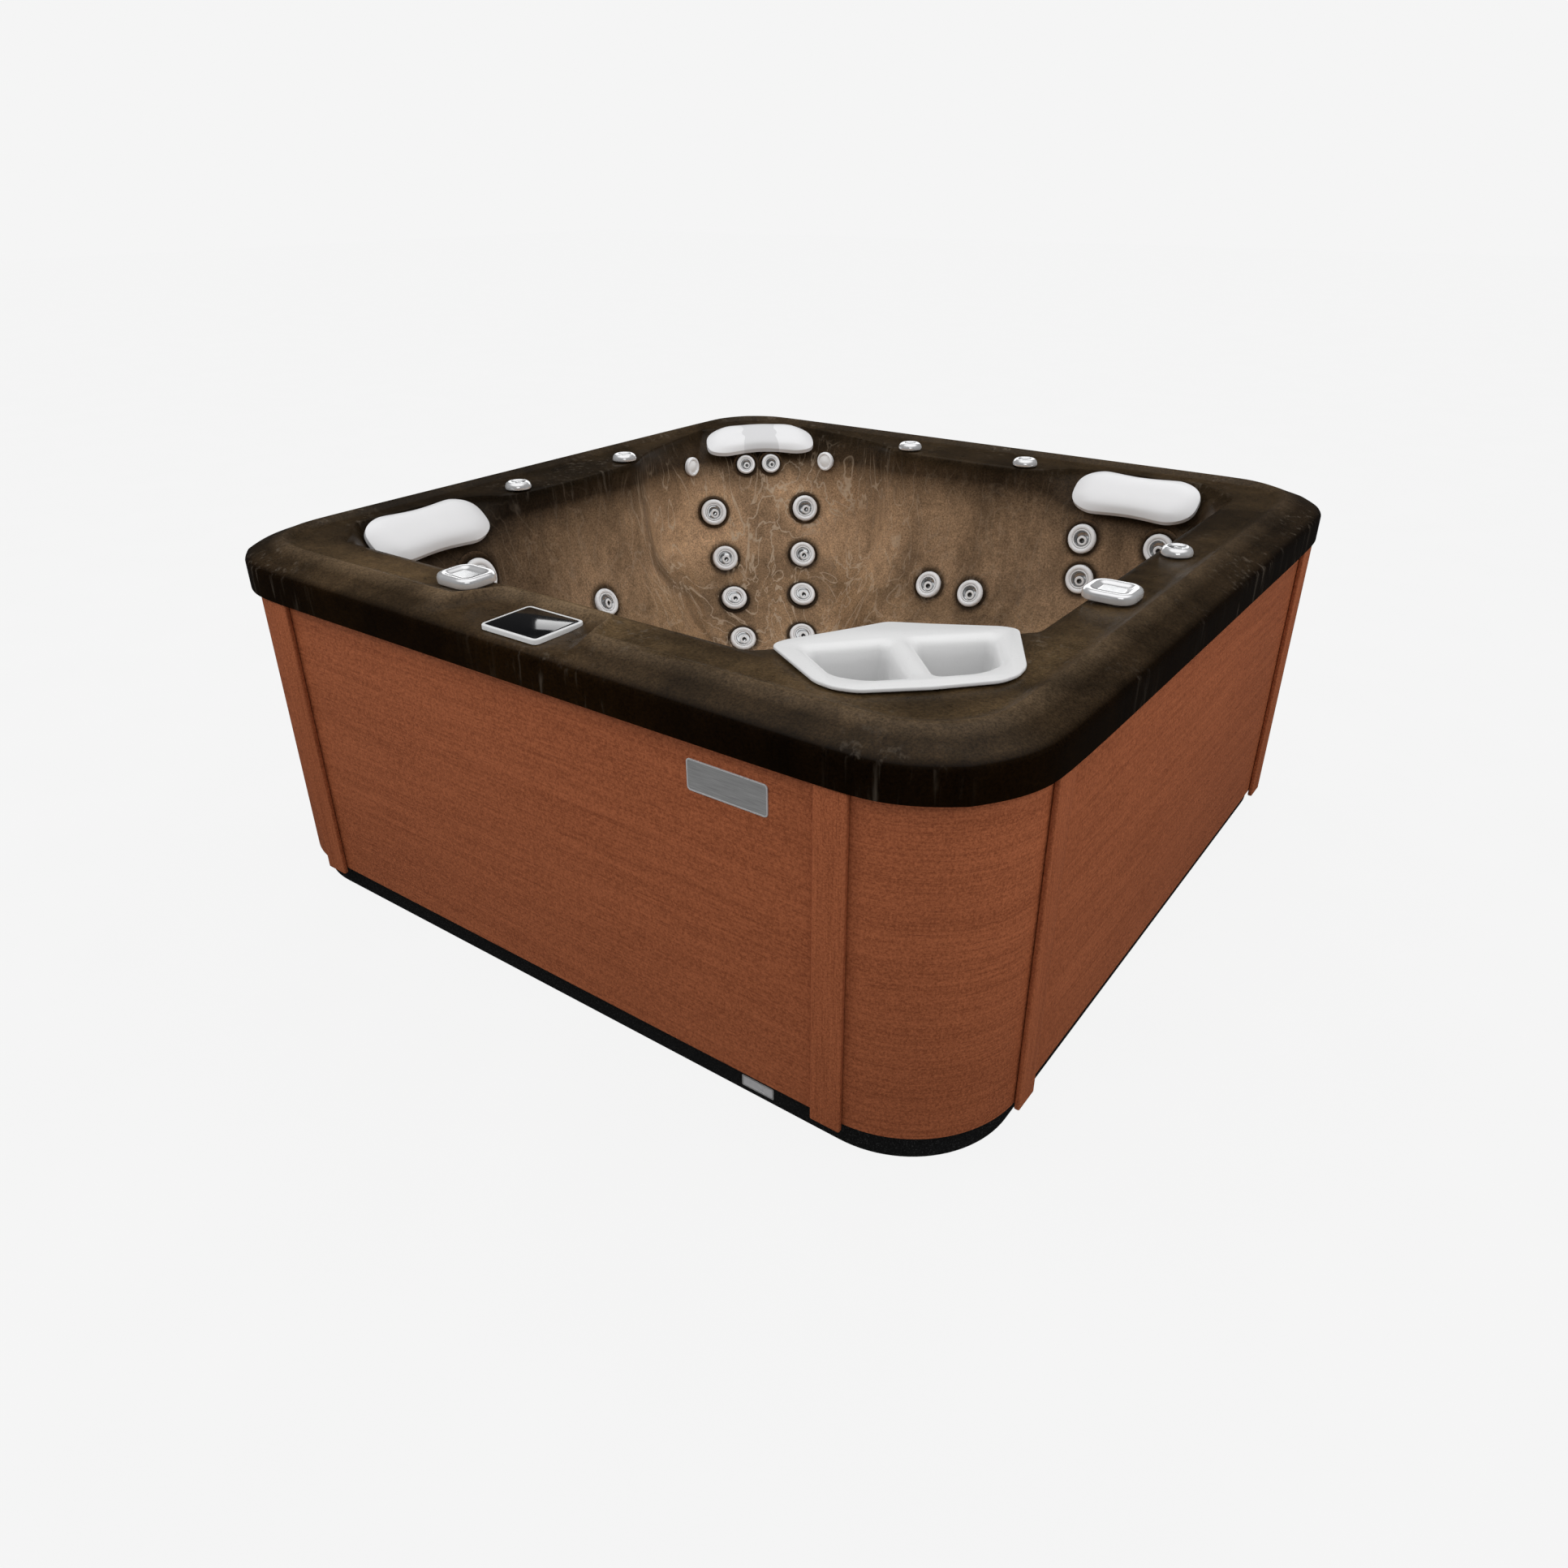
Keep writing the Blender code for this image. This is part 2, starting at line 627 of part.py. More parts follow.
def wall_matrix(wall, along, z, lift):
    point, normal = on_wall(wall, along, z)
    return axis_matrix(point + normal * lift, normal)


def make_jets(mats):
    """Jet faces: a ring with a sunk nozzle, each on its own axis normal to the wall."""
    for name, (wall, along, z, radius) in JETS.items():
        profile = [(0.0, 0.0), (0.94 * radius, 0.0), (radius, 0.003), (0.92 * radius, 0.010),
                   (0.72 * radius, 0.011), (0.60 * radius, 0.005), (0.0, 0.005)]
        finish_object(name, turned_bmesh(profile, 16), mats["jet"],
                      wall_matrix(wall, along, z, JET_LIFT))


def make_lights(mats):
    for name, (wall, along, z) in LIGHTS.items():
        profile = [(0.0, 0.0), (0.030, 0.0), (0.031, 0.002), (0.026, 0.007), (0.0, 0.010)]
        finish_object(name, turned_bmesh(profile, 16), mats["lens"],
                      wall_matrix(wall, along, z, JET_LIFT))


def make_air_knobs(mats):
    """Turned caps on the deck that let air into the jets."""
    for name, (x, y) in AIR_KNOBS.items():
        profile = [(0.0, 0.0), (0.036, 0.0), (0.037, 0.004), (0.034, 0.014), (0.027, 0.018),
                   (0.0, 0.019)]
        finish_object(name, turned_bmesh(profile, 20), mats["chrome"],
                      Matrix.Translation((x, y, KNOB_Z)))


def make_diverters(mats):
    """Large squared handles that send the water to one group of jets or another."""
    for name, (x, y) in DIVERTERS.items():
        bm = prism_bmesh(rounded_rect(0.058, 0.052, 0.034, steps=4), 0.0, 0.022)
        top = [e for e in bm.edges if min(v.co.z for v in e.verts) > 0.02]
        bmesh.ops.bevel(bm, geom=top, offset=0.009, segments=2, profile=0.5, affect="EDGES")
        foot = [e for e in bm.edges if max(v.co.z for v in e.verts) < 0.001]
        bmesh.ops.bevel(bm, geom=foot, offset=0.004, segments=1, profile=0.5, affect="EDGES")
        finish_object(name, bm, mats["chrome"], Matrix.Translation((x, y, DIVERTER_Z)))


def make_control(mats):
    """Control panel: bezel with a glass screen set into it."""
    place = Matrix.Translation(CONTROL_AT)
    bezel = finish_object("control_bezel", prism_bmesh(rounded_rect(0.080, 0.067, 0.012), 0, 0.010),
                          mats["pillow"], place)
    pocket = prism_bmesh(rounded_rect(0.0735, 0.0605, 0.008), 0.004, 0.03)
    add_boolean(bezel, finish_object("screen_cutter", pocket, mats["pillow"], place,
                                     coll=CUTTERS), "DIFFERENCE")
    finish_object("control_screen", prism_bmesh(rounded_rect(0.073, 0.060, 0.0075),
                                                0.004 + GAP, 0.0105), mats["screen"], place)


# ---- skim filter --------------------------------------------------------------------------
def make_filter(mats):
    """Filter housing in the deck, the lift-out twin basket and the pleated cartridge."""
    outline = mirrored(WELL_HALF)
    body = prism_bmesh(lens_to_plan(outline), WELL_Z, DECK_Z + 0.002)
    housing = finish_object("filter_housing", body, mats["white"])
    lip = prism_bmesh(lens_to_plan(offset_outline(outline, FLANGE)), DECK_Z + 0.0006,
                      DECK_Z + 0.0030)
    add_boolean(housing, finish_object("housing_lip", lip, mats["white"], coll=CUTTERS), "UNION")
    bore = prism_bmesh(lens_to_plan(offset_outline(outline, -WELL_WALL)), WELL_Z + WELL_WALL, 0.95)
    add_boolean(housing, finish_object("housing_bore", bore, mats["white"], coll=CUTTERS),
                "DIFFERENCE")
    make_basket(outline, mats)
    profile = [(0.0, 0.0), (0.072, 0.0), (0.072, 0.022), (0.068, 0.024), (0.068, 0.336),
               (0.072, 0.338), (0.072, 0.360), (0.030, 0.360), (0.026, 0.385), (0.0, 0.385)]
    x, y = lens_to_plan([(0.0, 1.028)])[0]
    finish_object("filter_cartridge", turned_bmesh(profile, 24), mats["filter"],
                  Matrix.Translation((x, y, WELL_Z + WELL_WALL + GAP)))


TRAY_Z0 = DECK_Z + 0.0034
TRAY_Z1 = TRAY_Z0 + 0.008
BIN_Z0 = 0.745
BIN_HALF = [(0.024, 0.944), (0.180, 0.950), (0.152, 1.070), (0.105, 1.100), (0.024, 1.102)]


def make_basket(outline, mats):
    """Tray whose two bins hang in the housing; the grip is the rib between the bins."""
    tray = prism_bmesh(lens_to_plan(mirrored(TRAY_HALF)), TRAY_Z0, TRAY_Z1)
    basket = finish_object("filter_basket", tray, mats["white"])
    block = prism_bmesh(lens_to_plan(offset_outline(outline, -0.007)), BIN_Z0, TRAY_Z0 + 0.002)
    add_boolean(basket, finish_object("bin_block", block, mats["white"], coll=CUTTERS), "UNION")
    for sign in (-1, 1):
        half = [(sign * a, d) for a, d in BIN_HALF]
        cutter = prism_bmesh(lens_to_plan(half), BIN_Z0 + 0.004, 0.95)
        add_boolean(basket, finish_object(f"bin_cutter_{sign + 1}", cutter, mats["white"],
                                          coll=CUTTERS), "DIFFERENCE")


# ---- plant under the seats ----------------------------------------------------------------
def make_plant(mats):
    """Pump, heater, control pack and pipe behind the front panel, and the suction cover."""
    floor = BASE_THICK + GAP
    profile = [(0.0, 0.0), (0.050, 0.0), (0.070, 0.010), (0.070, 0.200), (0.060, 0.215),
               (0.060, 0.235), (0.088, 0.240), (0.092, 0.260), (0.088, 0.300), (0.034, 0.306),
               (0.034, 0.340), (0.0, 0.340)]
    turn = Matrix.Rotation(math.radians(90), 4, "Y")
    pump = finish_object("circulation_pump", turned_bmesh(profile, 24), mats["motor"],
                         Matrix.Translation((-0.62, -0.72, floor + 0.100)) @ turn)
    foot = box_bmesh(-0.60, -0.36, -0.79, -0.65, floor, floor + 0.060)
    add_boolean(pump, finish_object("pump_foot", foot, mats["motor"], coll=CUTTERS), "UNION")
    profile = [(0.0, 0.0), (0.040, 0.0), (0.040, 0.030), (0.030, 0.034), (0.030, 0.306),
               (0.040, 0.310), (0.040, 0.340), (0.0, 0.340)]
    finish_object("heater_tube", turned_bmesh(profile, 20), mats["steel"],
                  Matrix.Translation((0.12, -0.72, floor + 0.100)) @ turn)
    box = box_bmesh(-0.18, 0.30, -0.975, -0.855, floor, 0.300)
    bmesh.ops.bevel(box, geom=box.edges[:], offset=0.008, segments=1, profile=0.5, affect="EDGES")
    finish_object("control_pack", box, mats["motor"])
    pipe = turned_bmesh([(0.0, 0.0), (0.024, 0.0), (0.024, 0.3989), (0.0, 0.3989)], 16)
    finish_object("pressure_pipe", pipe, mats["pipe"],
                  Matrix.Translation((-0.2795, -0.72, floor + 0.100)) @ turn)
    profile = [(0.0, 0.0), (0.060, 0.0), (0.060, 0.004), (0.050, 0.014), (0.0, 0.018)]
    finish_object("suction_cover", turned_bmesh(profile, 20), mats["jet"],
                  Matrix.Translation((0.10, -0.08, 0.120 + GAP)))


def make_materials():
    return {
        "acrylic": make_material("acrylic", (0.075, 0.040, 0.020), 0.16),
        "cladding": make_material("cladding", (0.36, 0.115, 0.060), 0.48),
        "base": make_material("base", (0.012, 0.012, 0.012), 0.55),
        "timber": make_material("timber", (0.52, 0.37, 0.22), 0.75),
        "steel": make_material("steel", (0.62, 0.62, 0.62), 0.32, 1.0),
        "chrome": make_material("chrome", (0.86, 0.86, 0.87), 0.08, 1.0),
        "jet": make_material("jet", (0.62, 0.63, 0.64), 0.24),
        "lens": make_material("lens", (0.80, 0.82, 0.83), 0.12),
        "pillow": make_material("pillow", (0.86, 0.86, 0.86), 0.30),
        "white": make_material("white", (0.88, 0.88, 0.88), 0.28),
        "filter": make_material("filter", (0.70, 0.76, 0.82), 0.85),
        "screen": make_material("screen", (0.010, 0.010, 0.012), 0.06),
        "motor": make_material("motor", (0.030, 0.030, 0.032), 0.42),
        "pipe": make_material("pipe", (0.80, 0.80, 0.78), 0.35),
    }


def main():
    clear_scene()
    mats = make_materials()
    make_shell(mats)
    make_base_pan(mats)
    make_frame(mats)
    make_panels(mats)
    make_trims(mats)
    make_plates(mats)
    make_pillows(mats)
    make_jets(mats)
    make_lights(mats)
    make_air_knobs(mats)
    make_diverters(mats)
    make_control(mats)
    make_filter(mats)
    make_plant(mats)


clear_scene()
PARTS = make_collection("hot_tub")
CUTTERS = make_collection("cutters")
main()
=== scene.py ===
"""Looks of a square portable hot tub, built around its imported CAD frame."""

import json
import logging
import math
from abc import ABC, abstractmethod
from dataclasses import dataclass, field
from enum import Enum
from typing import Iterable, Optional, Sequence

import bmesh
import bpy
from mathutils import Matrix, Vector

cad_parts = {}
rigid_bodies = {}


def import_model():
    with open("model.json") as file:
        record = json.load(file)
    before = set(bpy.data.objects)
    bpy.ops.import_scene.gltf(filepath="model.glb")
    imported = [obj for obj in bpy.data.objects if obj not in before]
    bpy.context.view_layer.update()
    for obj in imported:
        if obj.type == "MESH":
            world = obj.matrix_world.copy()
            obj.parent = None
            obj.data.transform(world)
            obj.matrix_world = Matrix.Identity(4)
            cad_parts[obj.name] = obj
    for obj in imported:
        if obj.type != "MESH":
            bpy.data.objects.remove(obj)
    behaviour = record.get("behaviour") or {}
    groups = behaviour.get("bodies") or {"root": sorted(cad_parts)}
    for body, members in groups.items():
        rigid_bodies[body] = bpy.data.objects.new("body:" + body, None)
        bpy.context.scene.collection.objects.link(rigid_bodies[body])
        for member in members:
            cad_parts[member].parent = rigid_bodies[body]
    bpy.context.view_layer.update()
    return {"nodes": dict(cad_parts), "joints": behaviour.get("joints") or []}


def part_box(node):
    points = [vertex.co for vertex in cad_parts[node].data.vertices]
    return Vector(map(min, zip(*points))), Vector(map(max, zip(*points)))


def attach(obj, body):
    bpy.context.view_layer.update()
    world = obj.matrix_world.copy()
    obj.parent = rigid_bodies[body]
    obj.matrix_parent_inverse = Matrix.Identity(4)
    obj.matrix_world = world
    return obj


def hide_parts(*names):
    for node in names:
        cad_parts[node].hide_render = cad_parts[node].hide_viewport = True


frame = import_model()

LOG = logging.getLogger("hot_tub")
TUB = "tub"
ROOT2 = math.sqrt(2.0)
UP = Vector((0.0, 0.0, 1.0))
Colour = tuple[float, float, float]
Looks = dict[str, bpy.types.Material]


class Grain(Enum):
    """Direction in which wood grain runs."""

    HORIZONTAL = (1.1, 1.1, 88.0)
    VERTICAL = (88.0, 88.0, 1.1)


class Side(Enum):
    """A side of the tub, by its outward direction, in the order a ring is walked."""

    RIGHT = (1, 0)
    BACK = (0, 1)
    LEFT = (-1, 0)
    FRONT = (0, -1)

    @property
    def outward(self) -> Vector:
        """Direction away from the centre."""
        return Vector(self.value)

    @property
    def forward(self) -> Vector:
        """Walking direction, counterclockwise seen from above."""
        return Vector((-self.value[1], self.value[0]))


# ---- node materials -----------------------------------------------------------------------
class NodeBook:
    """One node material, or the world, and the short calls that wire it."""

    def __init__(self, name: str, world: bool = False) -> None:
        """Start with an empty node tree.

        Args:
            name: Name of the material or world.
            world: Make a world rather than a material.
        """
        self.owner = (bpy.data.worlds if world else bpy.data.materials).new(name)
        self.owner.use_nodes = True
        self.output = "OutputWorld" if world else "OutputMaterial"
        self.tree = self.owner.node_tree
        self.tree.nodes.clear()

    def add(self, kind: str, inputs: dict[int | str, object],
            **settings: object) -> bpy.types.Node:
        """Add a node.

        Args:
            kind: Blender's name of its type, without ShaderNode.
            inputs: The socket to link, or value to set, on each input by name or number.
            **settings: Its other properties.

        Returns:
            The node.
        """
        node = self.tree.nodes.new(f"ShaderNode{kind}")
        for key, value in settings.items():
            setattr(node, key, value)
        for slot, value in inputs.items():
            if isinstance(value, bpy.types.NodeSocket):
                self.tree.links.new(value, node.inputs[slot])
            else:
                node.inputs[slot].default_value = value
        return node

    def finish(self, shader: bpy.types.Node) -> bpy.types.ID:
        """Link a shader to the output, and return the material or world."""
        self.add(self.output, {"Surface": shader.outputs[0]})
        return self.owner

    def surface(self, **values: object) -> bpy.types.Material:
        """Finish with a Principled shader, fed by its inputs' names with _ for a space."""
        return self.finish(self.add("BsdfPrincipled",
                                    {key.replace("_", " "): v for key, v in values.items()}))

    def choose(self, factor: object, a: bpy.types.Node, b: bpy.types.Node) -> bpy.types.Node:
        """Mix two shaders.

        Args:
            factor: Share of the second.
            a: First shader.
            b: Second shader.

        Returns:
            The mixing node.
        """
        return self.add("MixShader", {0: factor, 1: a.outputs[0], 2: b.outputs[0]})

    def coords(self, scale: Sequence[float] = (1.0, 1.0, 1.0)) -> bpy.types.NodeSocket:
        """Object coordinates, with a factor along each axis."""
        place = self.add("TexCoord", {}).outputs["Object"]
        return self.add("Mapping", {"Vector": place, "Scale": scale}).outputs["Vector"]

    def noise(self, vector: bpy.types.NodeSocket, scale: float, detail: float = 4.0,
              roughness: float = 0.5, distortion: float = 0.0) -> bpy.types.NodeSocket:
        """Noise value.

        Args:
            vector: Where the noise is read.
            scale: Cells per metre.
            detail: Octaves.
            roughness: Strength of the finer octaves.
            distortion: How far the pattern is pulled about.

        Returns:
            The value socket, about 0.2 to 0.8.
        """
        return self.add("TexNoise", {"Vector": vector, "Scale": scale, "Detail": detail,
                                     "Roughness": roughness,
                                     "Distortion": distortion}).outputs["Fac"]

    def remap(self, value: object, low: float, high: float, to_low: float = 0.0,
              to_high: float = 1.0, smooth: bool = False) -> bpy.types.NodeSocket:
        """Map a value from one range to another, clamped.

        Args:
            value: Socket to map.
            low: Start of the range.
            high: End of the range.
            to_low: Result at the start.
            to_high: Result at the end.
            smooth: Ease both ends.

        Returns:
            The mapped value socket.
        """
        return self.add("MapRange", {"Value": value, "From Min": low, "From Max": high,
                                     "To Min": to_low, "To Max": to_high},
                        interpolation_type="SMOOTHSTEP" if smooth else "LINEAR").outputs["Result"]

    def calc(self, operation: str, a: object, b: object = 0.0) -> bpy.types.NodeSocket:
        """Result of a Math node.

        Args:
            operation: Blender's name of the operation.
            a: First value or socket.
            b: Second value or socket.

        Returns:
            The result socket.
        """
        return self.add("Math", {0: a, 1: b}, operation=operation).outputs[0]

    def product(self, first: object, *others: object) -> bpy.types.NodeSocket:
        """Multiply values or sockets in order."""
        for other in others:
            first = self.calc("MULTIPLY", first, other)
        return first

    def blend(self, factor: object, a: object, b: object) -> bpy.types.NodeSocket:
        """Mix two colours.

        Args:
            factor: Share of the second colour.
            a: First colour or socket.
            b: Second colour or socket.

        Returns:
            The colour socket.
        """
        a, b = ((*v, 1.0) if isinstance(v, tuple) else v for v in (a, b))
        return self.add("Mix", {0: factor, 6: a, 7: b}, data_type="RGBA").outputs[2]

    def scaled(self, colour: object, factor: bpy.types.NodeSocket) -> bpy.types.NodeSocket:
        """Multiply a colour, or its socket, by a value socket."""
        return self.add("VectorMath", {0: colour, "Scale": factor}, operation="SCALE").outputs[0]

    def distance(self, point: Vector) -> bpy.types.NodeSocket:
        """Distance of a shaded point from a fixed point, in metres."""
        return self.add("VectorMath", {0: self.coords(), 1: tuple(point)},
                        operation="DISTANCE").outputs["Value"]

    def bump(self, height: bpy.types.NodeSocket, distance: float,
             strength: float = 1.0) -> bpy.types.NodeSocket:
        """Normal socket from a height.

        Args:
            height: Height socket, 0 to 1.
            distance: Height in metres that 1 stands for.
            strength: Share of the effect.

        Returns:
            The normal socket.
        """
        return self.add("Bump", {"Height": height, "Distance": distance,
                                 "Strength": strength}).outputs["Normal"]


@dataclass(frozen=True)
class MarbledAcrylic:
    """Pearly brown acrylic: cloudy, wispy with pale veins, glossy; its colour carries painted
    light and shade from the mesh's tint and round each jet.
    """

    vein: Colour = (0.52, 0.40, 0.285)
    wisp: Colour = (0.19, 0.155, 0.12)
    roughness: float = 0.30
    coat: float = 0.02
    specular: float = 0.07
    tint: str = "tint"
    vein_centre: Vector = field(default_factory=lambda: Vector((-0.62, 0.62, 0.62)))

    def build(self, jet_shade_spots: Iterable[tuple[Vector, float]]) -> bpy.types.Material:
        """Make the material.

        Args:
            jet_shade_spots: Centre and radius of each jet, round which the colour is darkened as
                painted shade of its recess.

        Returns:
            The material.
        """
        book = NodeBook("marbled_acrylic")
        # Base colour from the mesh's tint, which holds painted light and shade by level and
        # direction.
        base = book.add("Attribute", {}, attribute_name=self.tint)
        drift = book.noise(book.coords((1.0, 1.0, 0.30)), 3.3, 5.0, 0.55, 0.9)
        fold = book.noise(book.coords((1.0, 1.0, 0.75)), 17.0, 8.0, 0.68, 1.0)
        grit = book.noise(book.coords(), 190.0, 3.0, 0.8)
        # Painted shade round each jet: the colour darkens towards the jet, standing in for the
        # shade in its recess.
        painted_jet_shades = [book.remap(book.distance(centre), 1.02 * radius, 1.62 * radius, 0.16, 1.0, True)
                  for centre, radius in jet_shade_spots]
        tone = book.product(book.remap(drift, 0.36, 0.64, 0.60, 1.40),
                            book.remap(fold, 0.3, 0.7, 0.74, 1.28),
                            book.remap(grit, 0.3, 0.7, 0.46, 1.54), *painted_jet_shades)
        colour = book.scaled(base.outputs["Color"], tone)
        line = book.noise(book.coords((1.0, 1.0, 0.42)), 6.0, 3.0, 0.45, 2.6)
        line = book.calc("ABSOLUTE", book.calc("SUBTRACT", line, 0.5))
        line = book.remap(line, 0.0, 0.026, 1.0, 0.0, True)
        patch = book.remap(book.noise(book.coords(), 2.6, 3.0), 0.38, 0.50, 0.0, 0.85, True)
        near = book.remap(book.distance(self.vein_centre), 0.24, 0.66, 1.0, 0.12, True)
        colour = book.blend(book.product(line, patch, base.outputs["Alpha"], near), colour,
                            self.vein)
        wisp = book.noise(book.coords((1.0, 1.0, 0.10)), 62.0, 4.0, 0.55, 0.4)
        gate = book.remap(book.noise(book.coords((1.0, 1.0, 0.4)), 3.1, 2.0), 0.46, 0.62, 0.0,
                          0.30, True)
        wisp = book.product(book.remap(wisp, 0.54, 0.74, 0.0, 1.0, True), gate)
        colour = book.blend(wisp, colour, self.wisp)
        rough = book.remap(fold, 0.3, 0.7, self.roughness - 0.05, self.roughness + 0.08)
        return book.surface(Base_Color=colour, Roughness=rough, Coat_Weight=self.coat,
                            Coat_Roughness=0.15, Specular_IOR_Level=self.specular,
                            Normal=book.bump(grit, 0.00012))


@dataclass(frozen=True)
class WoodGrain:
    """Embossed, wood-coloured cladding with long fine grain."""

    grain: Grain
    light: Colour = (0.430, 0.130, 0.053)
    dark: Colour = (0.232, 0.062, 0.023)
    pore: Colour = (0.120, 0.027, 0.010)

    def build(self) -> bpy.types.Material:
        """Make the material."""
        book = NodeBook(f"cladding_{self.grain.name.lower()}")
        along = self.grain.value
        broad = book.noise(book.coords(tuple(0.16 * v if v > 2 else 0.7 * v for v in along)), 1.6,
                           5.0, 0.55, 1.1)
        streak = book.noise(book.coords(along), 2.6, 6.0, 0.62, 0.35)
        fine = book.noise(book.coords(tuple(4.2 * v if v > 2 else 5.5 * v for v in along)), 2.4)
        fleck = book.noise(book.coords(), 210.0, 2.0, 0.85)
        mixed = book.calc("ADD", book.product(broad, 0.14), book.product(streak, 0.28))
        mixed = book.calc("ADD", mixed, book.product(fleck, 0.58))
        colour = book.blend(book.remap(mixed, 0.40, 0.60), self.dark, self.light)
        pores = book.remap(fine, 0.60, 0.72, 0.0, 0.55, True)
        colour = book.blend(pores, colour, self.pore)
        height = book.calc("SUBTRACT", streak, book.product(pores, 0.6))
        rough = book.remap(fleck, 0.3, 0.7, 0.52, 0.68)
        return book.surface(Base_Color=colour, Roughness=rough, Specular_IOR_Level=0.16,
                            Normal=book.bump(height, 0.0005, 0.6))


@dataclass(frozen=True)
class Moulded:
    """Moulded plastic or foam skin with a fine texture and slight colour drift."""

    name: str
    colour: Colour
    roughness: float
    drift: float = 0.04
    grain: float = 300.0
    relief: float = 0.00006
    coat: float = 0.0
    specular: float = 0.5
    sheen: float = 0.0

    def build(self) -> bpy.types.Material:
        """Make the material."""
        book = NodeBook(self.name)
        cloud = book.noise(book.coords(), 14.0, 4.0)
        grit = book.noise(book.coords(), self.grain, 3.0, 0.6)
        both = book.calc("ADD", book.product(cloud, 0.5), book.product(grit, 0.5))
        tone = book.remap(both, 0.35, 0.65, 1.0 - self.drift, 1.0 + self.drift)
        rough = book.remap(grit, 0.3, 0.7, 0.85 * self.roughness, 1.15 * self.roughness)
        return book.surface(Base_Color=book.scaled(self.colour, tone), Roughness=rough,
                            Coat_Weight=self.coat, Coat_Roughness=0.06,
                            Specular_IOR_Level=self.specular, Sheen_Weight=self.sheen,
                            Normal=book.bump(grit, self.relief))


@dataclass(frozen=True)
class Metal:
    """Bare or plated metal, with brushing along one axis where streak is set."""

    name: str
    colour: Colour
    roughness: float
    streak: Sequence[float] = (1.0, 1.0, 1.0)
    drift: float = 0.05
    grain: float = 90.0
    metallic: float = 1.0
    coat: float = 0.0

    def build(self) -> bpy.types.Material:
        """Make the material."""
        book = NodeBook(self.name)
        lines = book.noise(book.coords(self.streak), self.grain, 4.0, 0.6)
        smear = book.noise(book.coords(), 40.0, 3.0)
        tone = book.remap(lines, 0.3, 0.7, 1.0 - self.drift, 1.0 + self.drift)
        rough = book.remap(smear, 0.3, 0.7, 0.8 * self.roughness, 1.25 * self.roughness)
        return book.surface(Base_Color=book.scaled(self.colour, tone), Roughness=rough,
                            Metallic=self.metallic, Coat_Weight=self.coat,
                            Coat_Roughness=0.05, Normal=book.bump(lines, 0.00003))


@dataclass(frozen=True)
class TwoTone:
    """Two colours mixed by one noise, which also sets the gloss and the relief."""

    name: str
    colours: tuple[Colour, Colour]
    noise: tuple[float, ...]
    share: tuple[float, ...]
    roughness: tuple[float, float]
    stretch: tuple[float, float, float] = (1.0, 1.0, 1.0)
    specular: float = 0.5
    relief: float = 0.0

    def build(self) -> bpy.types.Material:
        """Make the material."""
        book = NodeBook(self.name)
        grit = book.noise(book.coords(self.stretch), *self.noise)
        relief = {"Normal": book.bump(grit, self.relief)} if self.relief else {}
        return book.surface(Base_Color=book.blend(book.remap(grit, *self.share), *self.colours),
                            Roughness=book.remap(grit, 0.3, 0.7, *self.roughness),
                            Specular_IOR_Level=self.specular, **relief)


# ---- mesh work ----------------------------------------------------------------------------
def added(name: str, data: bpy.types.ID | bmesh.types.BMesh) -> bpy.types.Object:
    """Put something in the scene as an object.

    Args:
        name: Name of the object.
        data: Its datablock, or its shape as a bmesh, which is used up.

    Returns:
        The object.
    """
    if isinstance(data, bmesh.types.BMesh):
        mesh = bpy.data.meshes.new(name)
        data.to_mesh(mesh)
        data.free()
        data = mesh
    thing = bpy.data.objects.new(name, data)
    bpy.context.scene.collection.objects.link(thing)
    return thing


def make_piece(name: str, bm: bmesh.types.BMesh, materials: Sequence[bpy.types.Material],
               body: str = TUB, replaces: Sequence[str] = (),
               place: Optional[Matrix] = None, sharp: float = 38.0,
               recalc: bool = True) -> bpy.types.Object:
    """Turn a bmesh into a finished piece that rides on a body.

    Args:
        name: Name of the piece.
        bm: Its shape, which is used up.
        materials: Its materials, in the order its faces number them.
        body: The CAD body that it rides on.
        replaces: CAD nodes that it stands for.
        place: Where the shape goes, applied to its mesh.
        sharp: Angle in degrees above which an edge is not smoothed.
        recalc: Turn all faces outwards first.

    Returns:
        The object, at the origin.
    """
    if place is not None:
        bmesh.ops.transform(bm, matrix=place, verts=bm.verts)
    if recalc:
        bmesh.ops.recalc_face_normals(bm, faces=bm.faces)
    piece = added(name, bm)
    for material in materials:
        piece.data.materials.append(material)
    piece.data.shade_smooth()
    piece.data.set_sharp_from_angle(angle=math.radians(sharp))
    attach(piece, body)
    if replaces:
        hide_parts(*replaces)
    return piece


def smoothed(piece: bpy.types.Object, levels: int) -> None:
    """Add a subdivision modifier of some levels to a piece."""
    smooth = piece.modifiers.new("Smooth", "SUBSURF")
    smooth.levels = smooth.render_levels = levels


def block(low: Sequence[float], high: Sequence[float]) -> bmesh.types.BMesh:
    """Axis-aligned box.

    Args:
        low: Lowest corner.
        high: Highest corner.

    Returns:
        The box as a bmesh.
    """
    low, high = Vector(low), Vector(high)
    bm = bmesh.new()
    bmesh.ops.create_cube(bm, size=1.0, matrix=Matrix.Translation((low + high) / 2)
                          @ Matrix.Diagonal((*(high - low), 1.0)))
    return bm


def round_edges(bm: bmesh.types.BMesh, edges: Iterable[bmesh.types.BMEdge], offset: float,
                segments: int = 3) -> None:
    """Bevel some edges round.

    Args:
        bm: The shape.
        edges: Its edges to round.
        offset: Width of the bevel.
        segments: Steps across it.
    """
    bmesh.ops.bevel(bm, geom=list(edges), offset=offset, segments=segments, profile=0.5,
                    affect="EDGES", material=-1)


